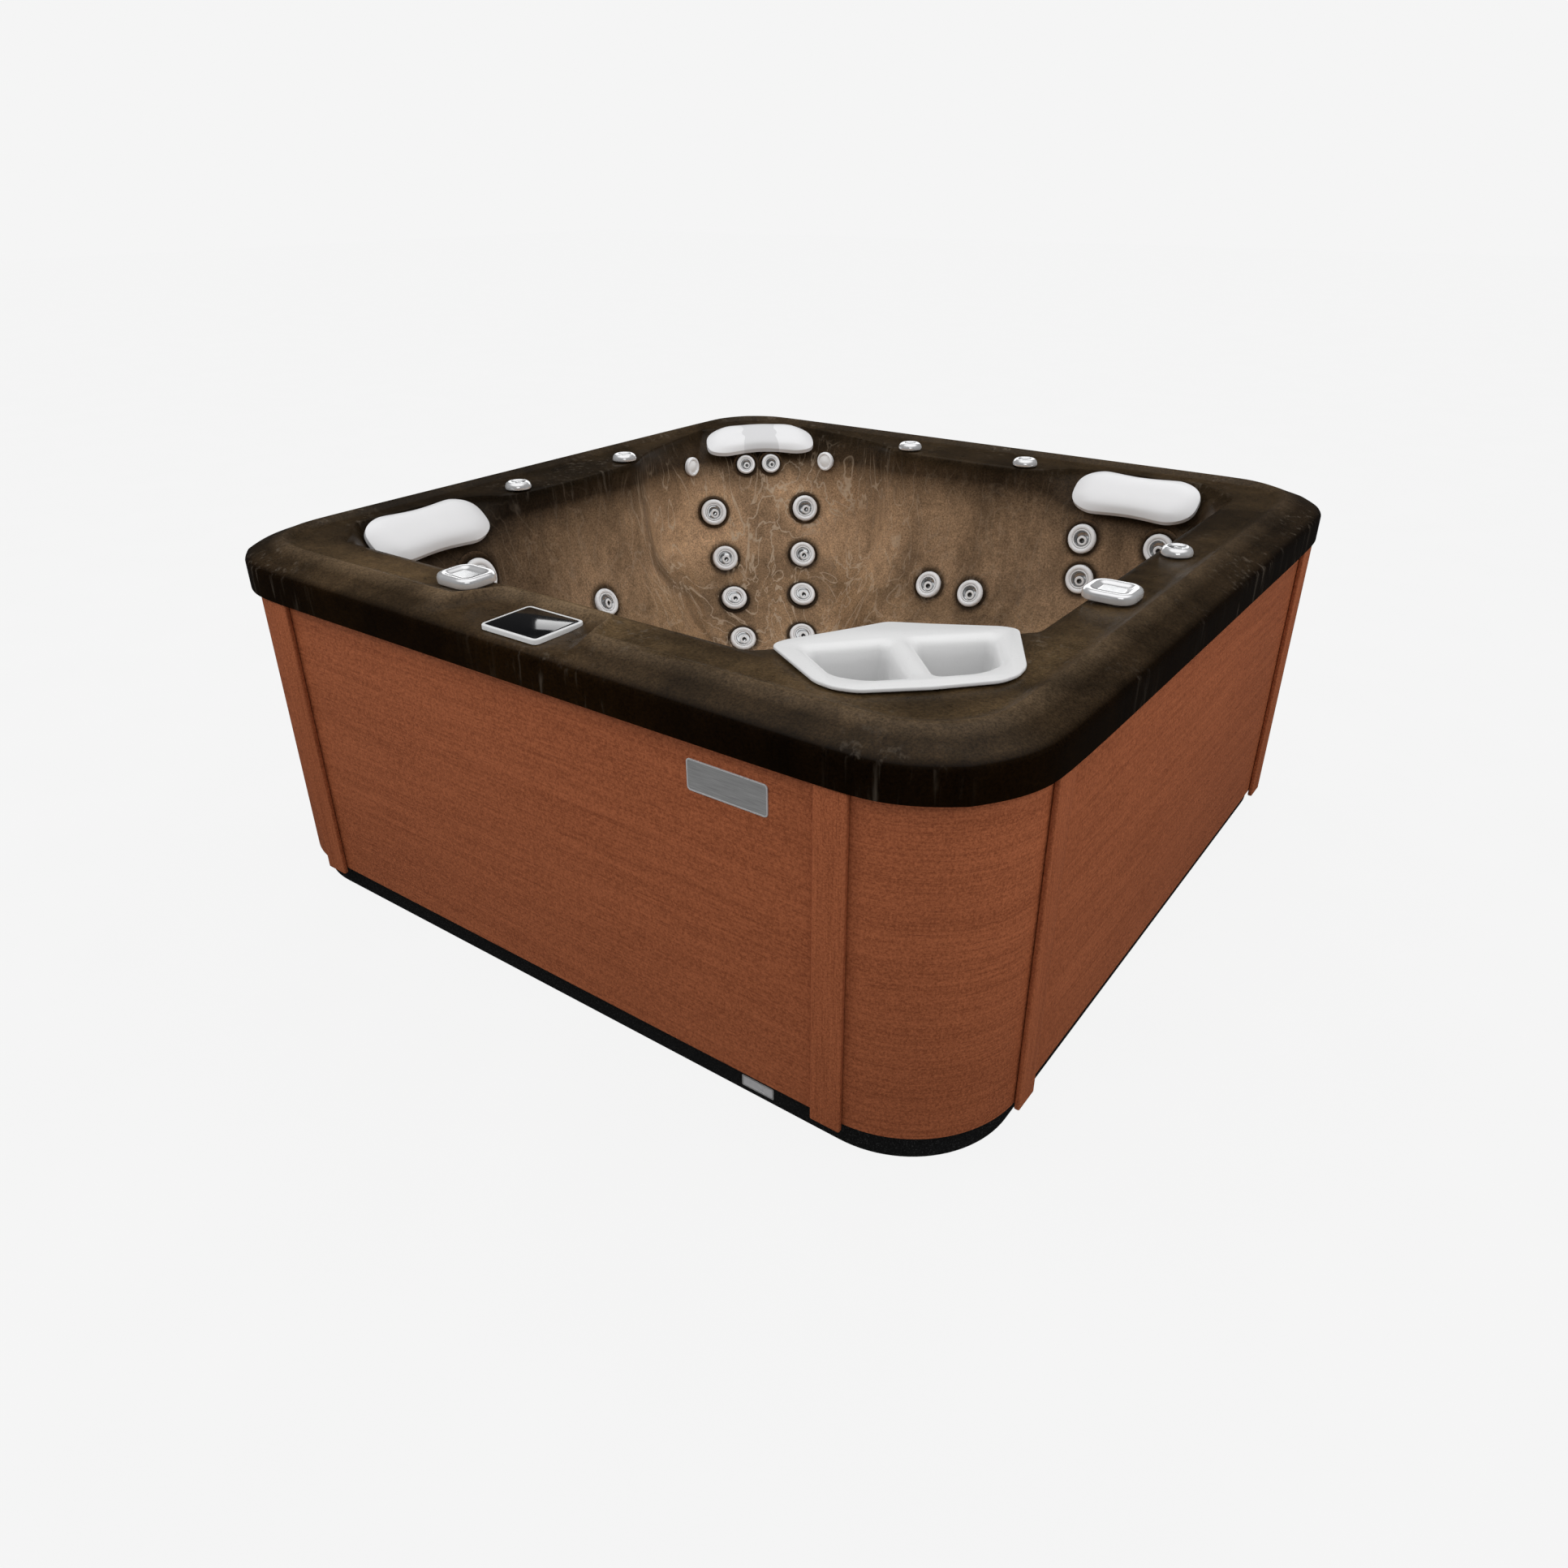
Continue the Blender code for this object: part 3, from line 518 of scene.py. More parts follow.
def top_face(bm: bmesh.types.BMesh) -> bmesh.types.BMFace:
    """The largest of the highest faces."""
    return max(bm.faces, key=lambda f: (round(f.calc_center_median().z, 6), f.calc_area()))


def upright(edge: bmesh.types.BMEdge) -> bool:
    """Whether an edge runs along Z."""
    run = edge.verts[0].co - edge.verts[1].co
    return abs(run.z) > 0.99 * run.length


def hard_edges(bm: bmesh.types.BMesh, angle: float) -> list[bmesh.types.BMEdge]:
    """Edges at which two faces turn by more than some degrees."""
    return [e for e in bm.edges if len(e.link_faces) == 2
            and e.calc_face_angle() > math.radians(angle)]


def pushed(bm: bmesh.types.BMesh, faces: Sequence[bmesh.types.BMFace],
           offset: Sequence[float]) -> list[bmesh.types.BMFace]:
    """Extrude faces.

    Args:
        bm: The shape.
        faces: Its faces to extrude, which stay where they are.
        offset: How far the new faces move.

    Returns:
        The new faces.
    """
    made = bmesh.ops.extrude_face_region(bm, geom=faces)["geom"]
    bmesh.ops.translate(bm, verts=[g for g in made if isinstance(g, bmesh.types.BMVert)],
                        vec=offset)
    return [g for g in made if isinstance(g, bmesh.types.BMFace)]


def rounded_slab(half_x: float, half_y: float, radius: float, z0: float, z1: float,
                 steps: int = 8, edge: Optional[tuple[float, int]] = None) -> bmesh.types.BMesh:
    """Slab with round corners in plan.

    Args:
        half_x: Half its size along X.
        half_y: Half its size along Y.
        radius: Corner radius.
        z0: Underside.
        z1: Top.
        steps: Segments of each corner.
        edge: Width and segments of the upper edge's rounding, if it has one.

    Returns:
        The slab as a bmesh.
    """
    bm = block((-half_x, -half_y, z0), (half_x, half_y, z1))
    round_edges(bm, [e for e in bm.edges if upright(e)], radius, steps)
    if edge:
        round_edges(bm, top_face(bm).edges, *edge)
    return bm


def closed_half(half: Sequence[tuple[float, float]]) -> list[tuple[float, float]]:
    """Plan outline about the near corner's diagonal from its half at positive across.

    Args:
        half: (across, outward) points, walked outwards.

    Returns:
        The whole outline as (x, y) points.
    """
    whole = list(half) + [(-a, d) for a, d in reversed(half)]
    return [((a + d) / ROOT2, (a - d) / ROOT2) for a, d in whole]


def plan_prism(outline: Sequence[tuple[float, float]], z0: float,
               z1: float) -> bmesh.types.BMesh:
    """Extrude a plan outline.

    Args:
        outline: (x, y) points.
        z0: Underside.
        z1: Top.

    Returns:
        The prism as a bmesh.
    """
    bm = bmesh.new()
    bm.faces.new([bm.verts.new((x, y, z0)) for x, y in outline])
    bmesh.ops.remove_doubles(bm, verts=bm.verts, dist=1e-6)
    pushed(bm, bm.faces[:], (0.0, 0.0, z1 - z0))
    bmesh.ops.recalc_face_normals(bm, faces=bm.faces)
    return bm


def turned(profile: Sequence[tuple[float, float]], steps: int,
           marks: Optional[dict[int, int]] = None) -> bmesh.types.BMesh:
    """Spin a half profile about Z.

    Args:
        profile: (radius, z) points from axis to axis, or a closed loop that repeats its start.
        steps: Segments of the turn.
        marks: Material number of each profile segment that isn't 0.

    Returns:
        The closed shape as a bmesh.
    """
    bm = bmesh.new()
    for number, ends in enumerate(zip(profile, profile[1:])):
        verts = [bm.verts.new((r, 0.0, z)) for r, z in ends]
        bmesh.ops.spin(bm, geom=verts + [bm.edges.new(verts)], cent=(0, 0, 0), axis=(0, 0, 1),
                       angle=math.tau, steps=steps, use_merge=True)
        for face in bm.faces:
            if not face.tag:
                face.tag = True
                face.material_index = (marks or {}).get(number, 0)
    bmesh.ops.remove_doubles(bm, verts=bm.verts, dist=1e-6)
    return bm


def frame_on(origin: Sequence[float], normal: Sequence[float]) -> Matrix:
    """Place whose Z is a normal and whose Y leans up.

    Args:
        origin: Its origin.
        normal: Its Z direction.

    Returns:
        The placement matrix.
    """
    z = Vector(normal).normalized()
    x = UP.cross(z).normalized() if abs(z.z) < 0.999 else Vector((1.0, 0.0, 0.0))
    rot = Matrix((x, z.cross(x), z)).transposed().to_4x4()
    return Matrix.Translation(origin) @ rot


def joint_of(child: str) -> dict[str, object]:
    """The frame's joint that moves a node."""
    return next(j for j in frame["joints"] if j["child"] == child)


def joint_place(child: str) -> Matrix:
    """Placement of a turning node on its joint's axis."""
    return frame_on(joint_of(child)["pos_m"], joint_of(child)["axis"])


def foot_place(node: str) -> Matrix:
    """Placement of a deck control on its joint's axis, at the height of its underside."""
    place = joint_place(node)
    place.translation.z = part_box(node)[0].z
    return place


def refined_copy(node: str, bevel: float) -> bmesh.types.BMesh:
    """Merged copy of a CAD node with its hard edges cut back.

    Args:
        node: The CAD node.
        bevel: Width of the cut.

    Returns:
        The copy as a bmesh.
    """
    bm = bmesh.new()
    bm.from_mesh(frame["nodes"][node].data)
    bmesh.ops.remove_doubles(bm, verts=bm.verts, dist=2e-5)
    bmesh.ops.dissolve_limit(bm, angle_limit=math.radians(1.0), verts=bm.verts, edges=bm.edges)
    bmesh.ops.bevel(bm, geom=hard_edges(bm, 28.0), offset=bevel, segments=1, profile=0.5,
                    affect="EDGES", material=-1, clamp_overlap=True)
    return bm


def join_into(bm: bmesh.types.BMesh, extra: bmesh.types.BMesh) -> None:
    """Copy one bmesh into another and free it.

    Args:
        bm: The one that grows.
        extra: The one that is used up.
    """
    bmesh.ops.recalc_face_normals(extra, faces=extra.faces)
    mesh = bpy.data.meshes.new("joined")
    extra.to_mesh(mesh)
    extra.free()
    bm.from_mesh(mesh)
    bpy.data.meshes.remove(mesh)


def carved(thing: bpy.types.Object,
           steps: Sequence[tuple[str, bmesh.types.BMesh]]) -> bpy.types.Mesh:
    """Apply an object's modifiers, then join shapes to it or cut them out of it.

    Args:
        thing: The object, which keeps its own mesh and loses its modifiers.
        steps: Blender's name of each Boolean operation and its shape, which is used up.

    Returns:
        The resulting mesh.
    """
    others = [added(f"step_{number}", bm) for number, (_, bm) in enumerate(steps)]
    for (operation, _), other in zip(steps, others):
        step = thing.modifiers.new(other.name, "BOOLEAN")
        step.operation, step.object, step.solver = operation, other, "EXACT"
    graph = bpy.context.evaluated_depsgraph_get()
    mesh = bpy.data.meshes.new_from_object(thing.evaluated_get(graph),
                                           preserve_all_data_layers=True, depsgraph=graph)
    thing.modifiers.clear()
    for other in others:
        bpy.data.objects.remove(other)
    return mesh


class Assembly(ABC):
    """A sub-assembly, which makes its own pieces."""

    @abstractmethod
    def build(self, looks: Looks) -> None:
        """Make its pieces.

        Args:
            looks: The finishes by name.
        """


# ---- the acrylic shell --------------------------------------------------------------------
@dataclass(frozen=True)
class Ring:
    """One level of the shell: a rounded octagon with its local changes, and its tint, the
    acrylic's colour with painted light and shade for that level.
    """

    z: float
    half: float
    corners: tuple[float, float, float, float]
    radius: float
    tint: Colour
    low: float = 0.0
    niche: float = 0.0
    nook: float = 0.0
    band: float = 0.0
    pocket: tuple[float, float] = (0.0, 0.0)
    pad: Optional[tuple[float, float]] = None
    crease: float = 0.0
    veins: float = 0.0


@dataclass
class TubShell(Assembly):
    """Moulded acrylic tub: skirt, shoulder, deck, seats and footwell in one sheet."""

    rim_half: float = 1.07
    rim_radius: float = 0.28
    thickness: float = 0.006
    arc_steps: int = 3
    levels: int = 2
    wall_ring: int = 12
    pad_crease: float = 0.9
    deck: Colour = (0.066, 0.0415, 0.0195)
    drop_reach: float = 0.6
    hole_heights: tuple[float, float] = (0.80, 0.95)
    hole_margin: float = 0.012
    deck_limit: float = 1.5
    pad_ramp: float = 0.04
    pad_front: float = -0.83
    pad_foot: float = 0.87
    hole: tuple[tuple[float, float], ...] = ((0.190, 0.930), (0.202, 0.943), (0.167, 1.087),
                                             (0.111, 1.124))
    stations: dict[Side, tuple[float, ...]] = field(default_factory=lambda: {
        Side.RIGHT: (-0.28, -0.10, 0.08, 0.22, 0.34, 0.46),
        Side.BACK: (0.36, 0.30, 0.25, 0.0, -0.25, -0.30),
        Side.LEFT: (0.28, 0.23, -0.02, -0.29, -0.34, -0.40),
        Side.FRONT: (-0.42, -0.235, -0.195, 0.125, 0.165, 0.30)})
    bands: dict[Side, tuple[float, float]] = field(default_factory=lambda: {
        Side.BACK: (-0.25, 0.25), Side.LEFT: (-0.29, 0.23)})
    niches: dict[Side, tuple[float, float]] = field(default_factory=lambda: {
        Side.BACK: (-1.0, -0.29), Side.LEFT: (0.27, 1.0)})
    pockets: dict[Side, tuple[float, float]] = field(default_factory=lambda: {
        Side.BACK: (0.36, 1.0), Side.LEFT: (-1.0, -0.40)})
    pads: dict[Side, tuple[float, float]] = field(default_factory=lambda: {
        Side.FRONT: (-0.195, 0.125)})
    # Painted light and shade by direction: factors on the tint at sixteen headings,
    # counterclockwise from the right side, for the rim's levels and for the walls.
    rim_painted_light: tuple[float, ...] = (0.58, 0.50, 0.47, 0.50, 0.52, 0.54, 0.56, 0.38,
                                    0.26, 0.22, 0.48, 1.40, 1.32, 1.15, 0.90, 0.75)
    wall_painted_light: tuple[float, ...] = (1.05, 1.05, 1.08, 1.14, 1.12, 1.30, 2.20, 1.20,
                                     0.90, 0.86, 0.88, 0.90, 1.0, 1.0, 1.0, 1.0)

    def rings(self) -> list[Ring]:
        """Levels of the shell from the skirt's lower edge to the footwell's floor."""
        # Painted light and shade by level: one acrylic, tinted lightest on the lit walls, darker
        # on the seats and footwell, near black on the shaded skirt, and light on the crest as a
        # painted highlight.
        skirt, shoulder = (0.0068, 0.0030, 0.0006), (0.031, 0.019, 0.0092)
        crest, edge, deck = (0.086, 0.057, 0.032), (0.048, 0.030, 0.0145), self.deck
        wall, seat, well = (0.250, 0.160, 0.094), (0.19, 0.119, 0.066), (0.16, 0.10, 0.055)
        upper = (0.205, 0.130, 0.075)
        return [
            self.rim(0.797, 0.0, skirt, crease=1.0),
            self.rim(0.861, 0.0, skirt, crease=0.75),
            self.rim(0.867, 0.004, skirt, crease=0.75),
            self.rim(0.875, 0.018, shoulder, crease=0.2),
            self.rim(0.886, 0.052, shoulder, pad=(0.905, 0.8745), crease=0.2),
            self.rim(0.9015, 0.095, crest, pad=(0.870, 0.895), crease=0.92),
            self.rim(0.888, 0.121, deck, nook=0.015, pad=(0.862, 0.895), crease=0.85),
            Ring(0.8865, 0.905, (1.205, 1.215, 1.205, 1.205), 0.10, deck, nook=0.047,
                 pocket=(0.020, 0.0), pad=(0.856, 0.889)),
            Ring(0.8845, 0.845, (1.16, 1.165, 1.16, 0.905), 0.04, edge, niche=0.025, nook=0.075,
                 band=0.058, pocket=(0.070, 0.0), crease=0.7),
            Ring(0.872, 0.838, (1.15, 1.155, 1.15, 0.897), 0.04, edge, low=0.004, niche=0.027,
                 nook=0.073, band=0.054, pocket=(0.070, 0.010), crease=0.45),
            Ring(0.850, 0.815, (1.090, 1.02, 1.090, 0.890), 0.05, (0.085, 0.052, 0.028),
                 low=0.040, niche=0.050, band=0.030, pocket=(-0.020, 0.080), veins=0.4),
            Ring(0.740, 0.7877, (1.0435, 0.986, 1.0435, 0.8792), 0.055, upper, low=0.026,
                 niche=0.070, band=0.019, pocket=(-0.013, 0.030), veins=1.0),
            Ring(0.545, 0.739, (0.96, 0.925, 0.96, 0.860), 0.06, wall, niche=0.106, veins=1.0),
            Ring(0.450, 0.690, (0.89, 0.865, 0.89, 0.825), 0.06, seat, niche=0.085, veins=0.9),
            Ring(0.385, 0.620, (0.80, 0.735, 0.80, 0.760), 0.06, seat, low=0.050, niche=0.050,
                 veins=0.9),
            Ring(0.365, 0.550, (0.70, 0.620, 0.70, 0.680), 0.06, seat, low=0.130, niche=0.025,
                 veins=0.8),
            Ring(0.360, 0.370, (0.46, 0.380, 0.46, 0.450), 0.06, seat, low=0.138, veins=0.8),
            Ring(0.345, 0.350, (0.44, 0.360, 0.44, 0.430), 0.06, seat, low=0.138, veins=0.6),
            Ring(0.135, 0.315, (0.39, 0.335, 0.39, 0.385), 0.06, well, veins=0.5),
            Ring(0.120, 0.290, (0.36, 0.310, 0.36, 0.355), 0.06, well, veins=0.5),
        ]

    def rim(self, z: float, inset: float, tint: Colour, **changes: object) -> Ring:
        """Plain rounded square, inset from the rim's outer edge.

        Args:
            z: Its height.
            inset: Distance inside the outer edge.
            tint: Its colour.
            **changes: Other fields of the ring.

        Returns:
            The ring.
        """
        half, radius = self.rim_half - inset, self.rim_radius - inset
        reach = ROOT2 * (half - radius) + radius
        return Ring(z, half, (reach,) * 4, radius, tint, **changes)

    @staticmethod
    def inside(table: dict[Side, tuple[float, float]], side: Side, along: float) -> bool:
        """Whether a place along a side is in its stretch of a table.

        Args:
            table: Start and end of a stretch by side.
            side: The side.
            along: World x or y along it.
        """
        low, high = table.get(side, (1.0, -1.0))
        return low - 1e-6 <= along <= high + 1e-6

    def level(self, ring: Ring, side: Side, along: float) -> tuple[float, float]:
        """Distance from the centre and height of a ring.

        Args:
            ring: The ring.
            side: The side.
            along: World x or y along the side.

        Returns:
            Distance and height.
        """
        if ring.pad and self.inside(self.pads, side, along):
            return ring.pad
        half, z = ring.half, ring.z
        for table, grow, fall in ((self.bands, -ring.band, 0.0), (self.niches, ring.niche, 0.0),
                                  (self.pockets, *ring.pocket)):
            if self.inside(table, side, along):
                half, z = half + grow, z - fall
        return half, z

    def span(self, ring: Ring, index: int) -> tuple[float, float]:
        """Walking positions at which a side's straight edge starts and ends."""
        return (ring.half - ROOT2 * ring.corners[index - 1],
                ROOT2 * ring.corners[index] - ring.half)

    def drop(self, ring: Ring, side: Side, fraction: float) -> float:
        """Drop of the deep seat.

        Args:
            ring: The ring.
            side: The side.
            fraction: How far along the side, 0 to 1.
        """
        reach = {Side.BACK: fraction - 1.0 + self.drop_reach,
                 Side.LEFT: self.drop_reach - fraction}.get(side, 0.0) / self.drop_reach
        reach = max(0.0, min(1.0, reach))
        return ring.low * reach * reach * (3.0 - 2.0 * reach)

    def end_level(self, ring: Ring, index: int, end: int) -> tuple[float, float]:
        """Distance and height of a side at one of its ends.

        Args:
            ring: The ring.
            index: The side's number.
            end: 1 for its end, or -1 for its start.
        """
        side = list(Side)[index % 4]
        half, z = self.level(ring, side, end * (side.forward.x + side.forward.y))
        if (side, end) in {(Side.BACK, 1), (Side.LEFT, -1)}:
            half, z = half + ring.nook, z - ring.low
        return half, z

    def arc(self, vertex: Vector, before: Vector, ring: Ring, z: float) -> list[Vector]:
        """Points of a rounded vertex that turns by 45 degrees.

        Args:
            vertex: Where the two edges would meet.
            before: Direction of the first edge.
            ring: The ring, for its radius.
            z: Height.

        Returns:
            The points, in walking order.
        """
        start = vertex - before * ring.radius * math.tan(math.radians(22.5))
        centre = start + Vector((-before.y, before.x)) * ring.radius
        points = []
        for i in range(self.arc_steps + 1):
            turn = Matrix.Rotation(math.radians(45.0 * i / self.arc_steps), 2)
            points.append(Vector((*(centre + turn @ (start - centre)), z)))
        return points

    def points(self, rings: Sequence[Ring], number: int) -> list[Vector]:
        """All points of one ring, counterclockwise from the right side's front end.

        Args:
            rings: All rings.
            number: Which one.

        Returns:
            Its points.
        """
        ring, ref = rings[number], rings[self.wall_ring]
        points = []
        for index, side in enumerate(Side):
            start, end = self.span(ring, index)
            ref_start, ref_end = self.span(ref, index)
            for station in self.stations[side]:
                walk = station * (side.forward.x + side.forward.y)
                fraction = (walk - ref_start) / (ref_end - ref_start)
                if number > self.wall_ring:
                    walk = start + fraction * (end - start)
                half, z = self.level(ring, side, walk * (side.forward.x + side.forward.y))
                spot = side.outward * half + side.forward * walk
                points.append(Vector((spot.x, spot.y, z - self.drop(ring, side, fraction))))
            chamfer = (side.forward - side.outward).normalized()
            reach = ROOT2 * ring.corners[index]
            half, z = self.end_level(ring, index, 1)
            points += self.arc(side.outward * half + side.forward * (reach - half),
                               side.forward, ring, z)
            half, z = self.end_level(ring, index + 1, -1)
            points += self.arc(side.forward * half + side.outward * (reach - half),
                               chamfer, ring, z)
        return points

    def painted_light_factor(self, ring: Ring, spot: Vector) -> float:
        """Painted light and shade in one direction from the centre, as a factor on the tint: sides
        towards the light lighter, the others darker.

        Args:
            ring: The ring; the dark upper ones and the walls have their own tables.
            spot: A point of it.

        Returns:
            The factor.
        """
        table = self.wall_painted_light if ring.tint[0] > 0.15 else self.rim_painted_light
        eighth = math.atan2(spot.y, spot.x) / math.tau * len(table) % len(table)
        low = int(eighth)
        share = eighth - low
        return (1.0 - share) * table[low] + share * table[(low + 1) % len(table)]

    def pad_side(self, edge: bmesh.types.BMEdge) -> bool:
        """Whether an edge runs up one side of the control's pad on the front deck."""
        ends = [v.co for v in edge.verts]
        low, high = self.pads[Side.FRONT]
        across = ends[0].x
        on_deck = (max(e.y for e in ends) < self.pad_front
                   and min(e.z for e in ends) > self.pad_foot)
        return (on_deck and abs(across - ends[1].x) < 1e-4
                and any(abs(across - spot) < 1e-4
                        for spot in (low - self.pad_ramp, low, high, high + self.pad_ramp)))

    def sheet(self) -> bmesh.types.BMesh:
        """The open sheet, with its colour, which holds painted light and shade, and its creases,
        before it is smoothed.
        """
        rings = self.rings()
        bm = bmesh.new()
        tint = bm.verts.layers.float_color.new("tint")
        crease = bm.edges.layers.float.new("crease_edge")
        loops = []
        for number, ring in enumerate(rings):
            verts = [bm.verts.new(p) for p in self.points(rings, number)]
            for vert in verts:
                # Painted light and shade by direction, on each level's tint.
                share = self.painted_light_factor(ring, vert.co)
                vert[tint] = (*(share * c for c in ring.tint), ring.veins)
            loop = [bm.edges.new(pair) for pair in zip(verts, verts[1:] + verts[:1])]
            for edge in loop:
                edge[crease] = ring.crease
            loops.append(loop)
        for upper, lower in zip(loops, loops[1:]):
            bmesh.ops.bridge_loops(bm, edges=upper + lower)
        for edge in bm.edges:
            if self.pad_side(edge):
                edge[crease] = self.pad_crease
        floor = bmesh.ops.holes_fill(bm, edges=loops[-1], sides=0)["faces"]
        bmesh.ops.recalc_face_normals(bm, faces=bm.faces)
        if floor[0].normal.z < 0:
            bmesh.ops.reverse_faces(bm, faces=bm.faces)
        return bm

    def build(self, looks: Looks) -> None:
        """Make the shell: smoothed, given its thickness and cut for the filter housing."""
        shell = make_piece("acrylic_shell", self.sheet(), [looks["acrylic"]],
                           replaces=["shell"], sharp=180.0, recalc=False)
        smoothed(shell, self.levels)
        thick = shell.modifiers.new("Thickness", "SOLIDIFY")
        thick.thickness, thick.offset = self.thickness, -1.0
        cutter = plan_prism(closed_half(self.hole), *self.hole_heights)
        shell.data = carved(shell, [("DIFFERENCE", cutter)])
        near_edge = self.hole[0][1] - self.hole_margin
        # Points near the filter hole that carry the walls' painted light take the deck's darker
        # tint instead.
        for vert, tint in zip(shell.data.vertices, shell.data.attributes["tint"].data):
            lit_like_wall = tint.color[0] > self.deck_limit * self.deck[0]
            outward = (vert.co.x - vert.co.y) / ROOT2
            if lit_like_wall and outward > near_edge and vert.co.z > self.hole_heights[0]:
                tint.color = (*self.deck, 0.0)
        shell.data.shade_smooth()
        shell.data.set_sharp_from_angle(angle=math.radians(50.0))


@dataclass
class Collars(Assembly):
    """Shallow collars moulded round each jet, tinted darker as painted shade in the recess round
    it.
    """

    reach: float = 1.34
    depth: float = 0.012
    # Darker than the walls' tint: painted shade in the jet's recess.
    tint: Colour = (0.16, 0.098, 0.054)

    def build(self, looks: Looks) -> None:
        """Make one collar for each jet."""
        for name, r in Jets().sizes().items():
            d = self.depth
            bm = turned([(0.90 * r, -d), (0.90 * r, -0.003), (1.03 * r, -0.003),
                         (1.10 * r, -0.0005), (1.20 * r, -0.0008), (self.reach * r, -0.0055),
                         (self.reach * r, -d), (0.90 * r, -d)], 48)
            tint = bm.verts.layers.float_color.new("tint")
            for vert in bm.verts:
                vert[tint] = (*self.tint, 0.0)
            make_piece(f"{name}_collar", bm, [looks["acrylic"]],
                       place=joint_place(name))


# ---- cabinet ------------------------------------------------------------------------------
@dataclass
class Cabinet(Assembly):
    """Wood-look cladding: flat panels, bent corner panels and vertical cover strips."""

    half: float = 1.05
    radius: float = 0.26
    thickness: float = 0.015
    edge: float = 0.0012
    trim_edge: float = 0.0035
    corner_steps: int = 28

    def build(self, looks: Looks) -> None:
        """Make all cladding."""
        for side in ("front", "back", "left", "right"):
            self.board(f"{side}_panel", looks["flat"], self.edge)
            ends = ("left", "right") if side in ("front", "back") else ("front", "back")
            for end in ends:
                self.board(f"trim_{side}_{end}", looks["strip"], self.trim_edge)
        for name in ("back_right", "back_left", "front_left", "front_right"):
            self.corner(f"{name}_corner_panel", looks["flat"])

    def board(self, node: str, material: bpy.types.Material, edge: float) -> None:
        """Flat board in the place of a CAD node, with rounded edges.

        Args:
            node: The CAD node.
            material: Its finish.
            edge: Radius of its edges.
        """
        bm = block(*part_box(node))
        round_edges(bm, bm.edges[:], edge, 3)
        make_piece(f"{node}_board", bm, [material], replaces=[node])

    def corner(self, node: str, material: bpy.types.Material) -> None:
        """Bent corner panel: a strip's cross-section spun round the corner.

        Args:
            node: The CAD node.
            material: Its finish.
        """
        low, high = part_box(node)
        sx, sy = math.copysign(1, low.x + high.x), math.copysign(1, low.y + high.y)
        centre, inner = self.half - self.radius, self.half - self.thickness
        start = min(abs(low.x), abs(high.x), abs(low.y), abs(high.y))
        bm = bmesh.new()
        bm.faces.new([bm.verts.new((x, start, z)) for x, z in (
            (inner, low.z), (self.half, low.z), (self.half, high.z), (inner, high.z))])
        end = pushed(bm, bm.faces[:], (0.0, centre - start, 0.0))
        turn = bmesh.ops.spin(bm, geom=end, cent=(centre, centre, 0.0), axis=(0, 0, 1),
                              angle=math.radians(90), steps=self.corner_steps)
        pushed(bm, [g for g in turn["geom_last"] if isinstance(g, bmesh.types.BMFace)],
               (start - centre, 0.0, 0.0))
        bmesh.ops.remove_doubles(bm, verts=bm.verts, dist=1e-5)
        inside = [f for f in bm.faces if all(len(e.link_faces) > 2 for e in f.edges)]
        bmesh.ops.delete(bm, geom=inside, context="FACES_ONLY")
        bmesh.ops.scale(bm, vec=(sx, sy, 1.0), verts=bm.verts)
        rim = hard_edges(bm, 60.0)
        bmesh.ops.recalc_face_normals(bm, faces=bm.faces)
        round_edges(bm, rim, self.edge, 2)
        make_piece(f"{node}_board", bm, [material], replaces=[node], sharp=30.0)


@dataclass
class BasePan(Assembly):
    """Speckled tray that the tub stands on, with a raised lip."""

    half: float = 1.03
    radius: float = 0.24
    wall: float = 0.012
    floor: float = 0.006
    edge: float = 0.006

    def build(self, looks: Looks) -> None:
        """Make the tray."""
        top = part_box("base_pan")[1].z
        bm = rounded_slab(self.half, self.half, self.radius, 0.0, top, 24)
        lid = top_face(bm)
        bmesh.ops.inset_region(bm, faces=[lid], thickness=self.wall, use_even_offset=True)
        pushed(bm, [lid], (0.0, 0.0, self.floor - top))
        bmesh.ops.delete(bm, geom=[lid], context="FACES_ONLY")
        foot = [e for e in hard_edges(bm, 60.0) if max(v.co.z for v in e.verts) < 1e-4]
        round_edges(bm, foot, self.edge, 3)
        make_piece("base_tray", bm, [looks["base"]], replaces=["base_pan"], sharp=35.0)


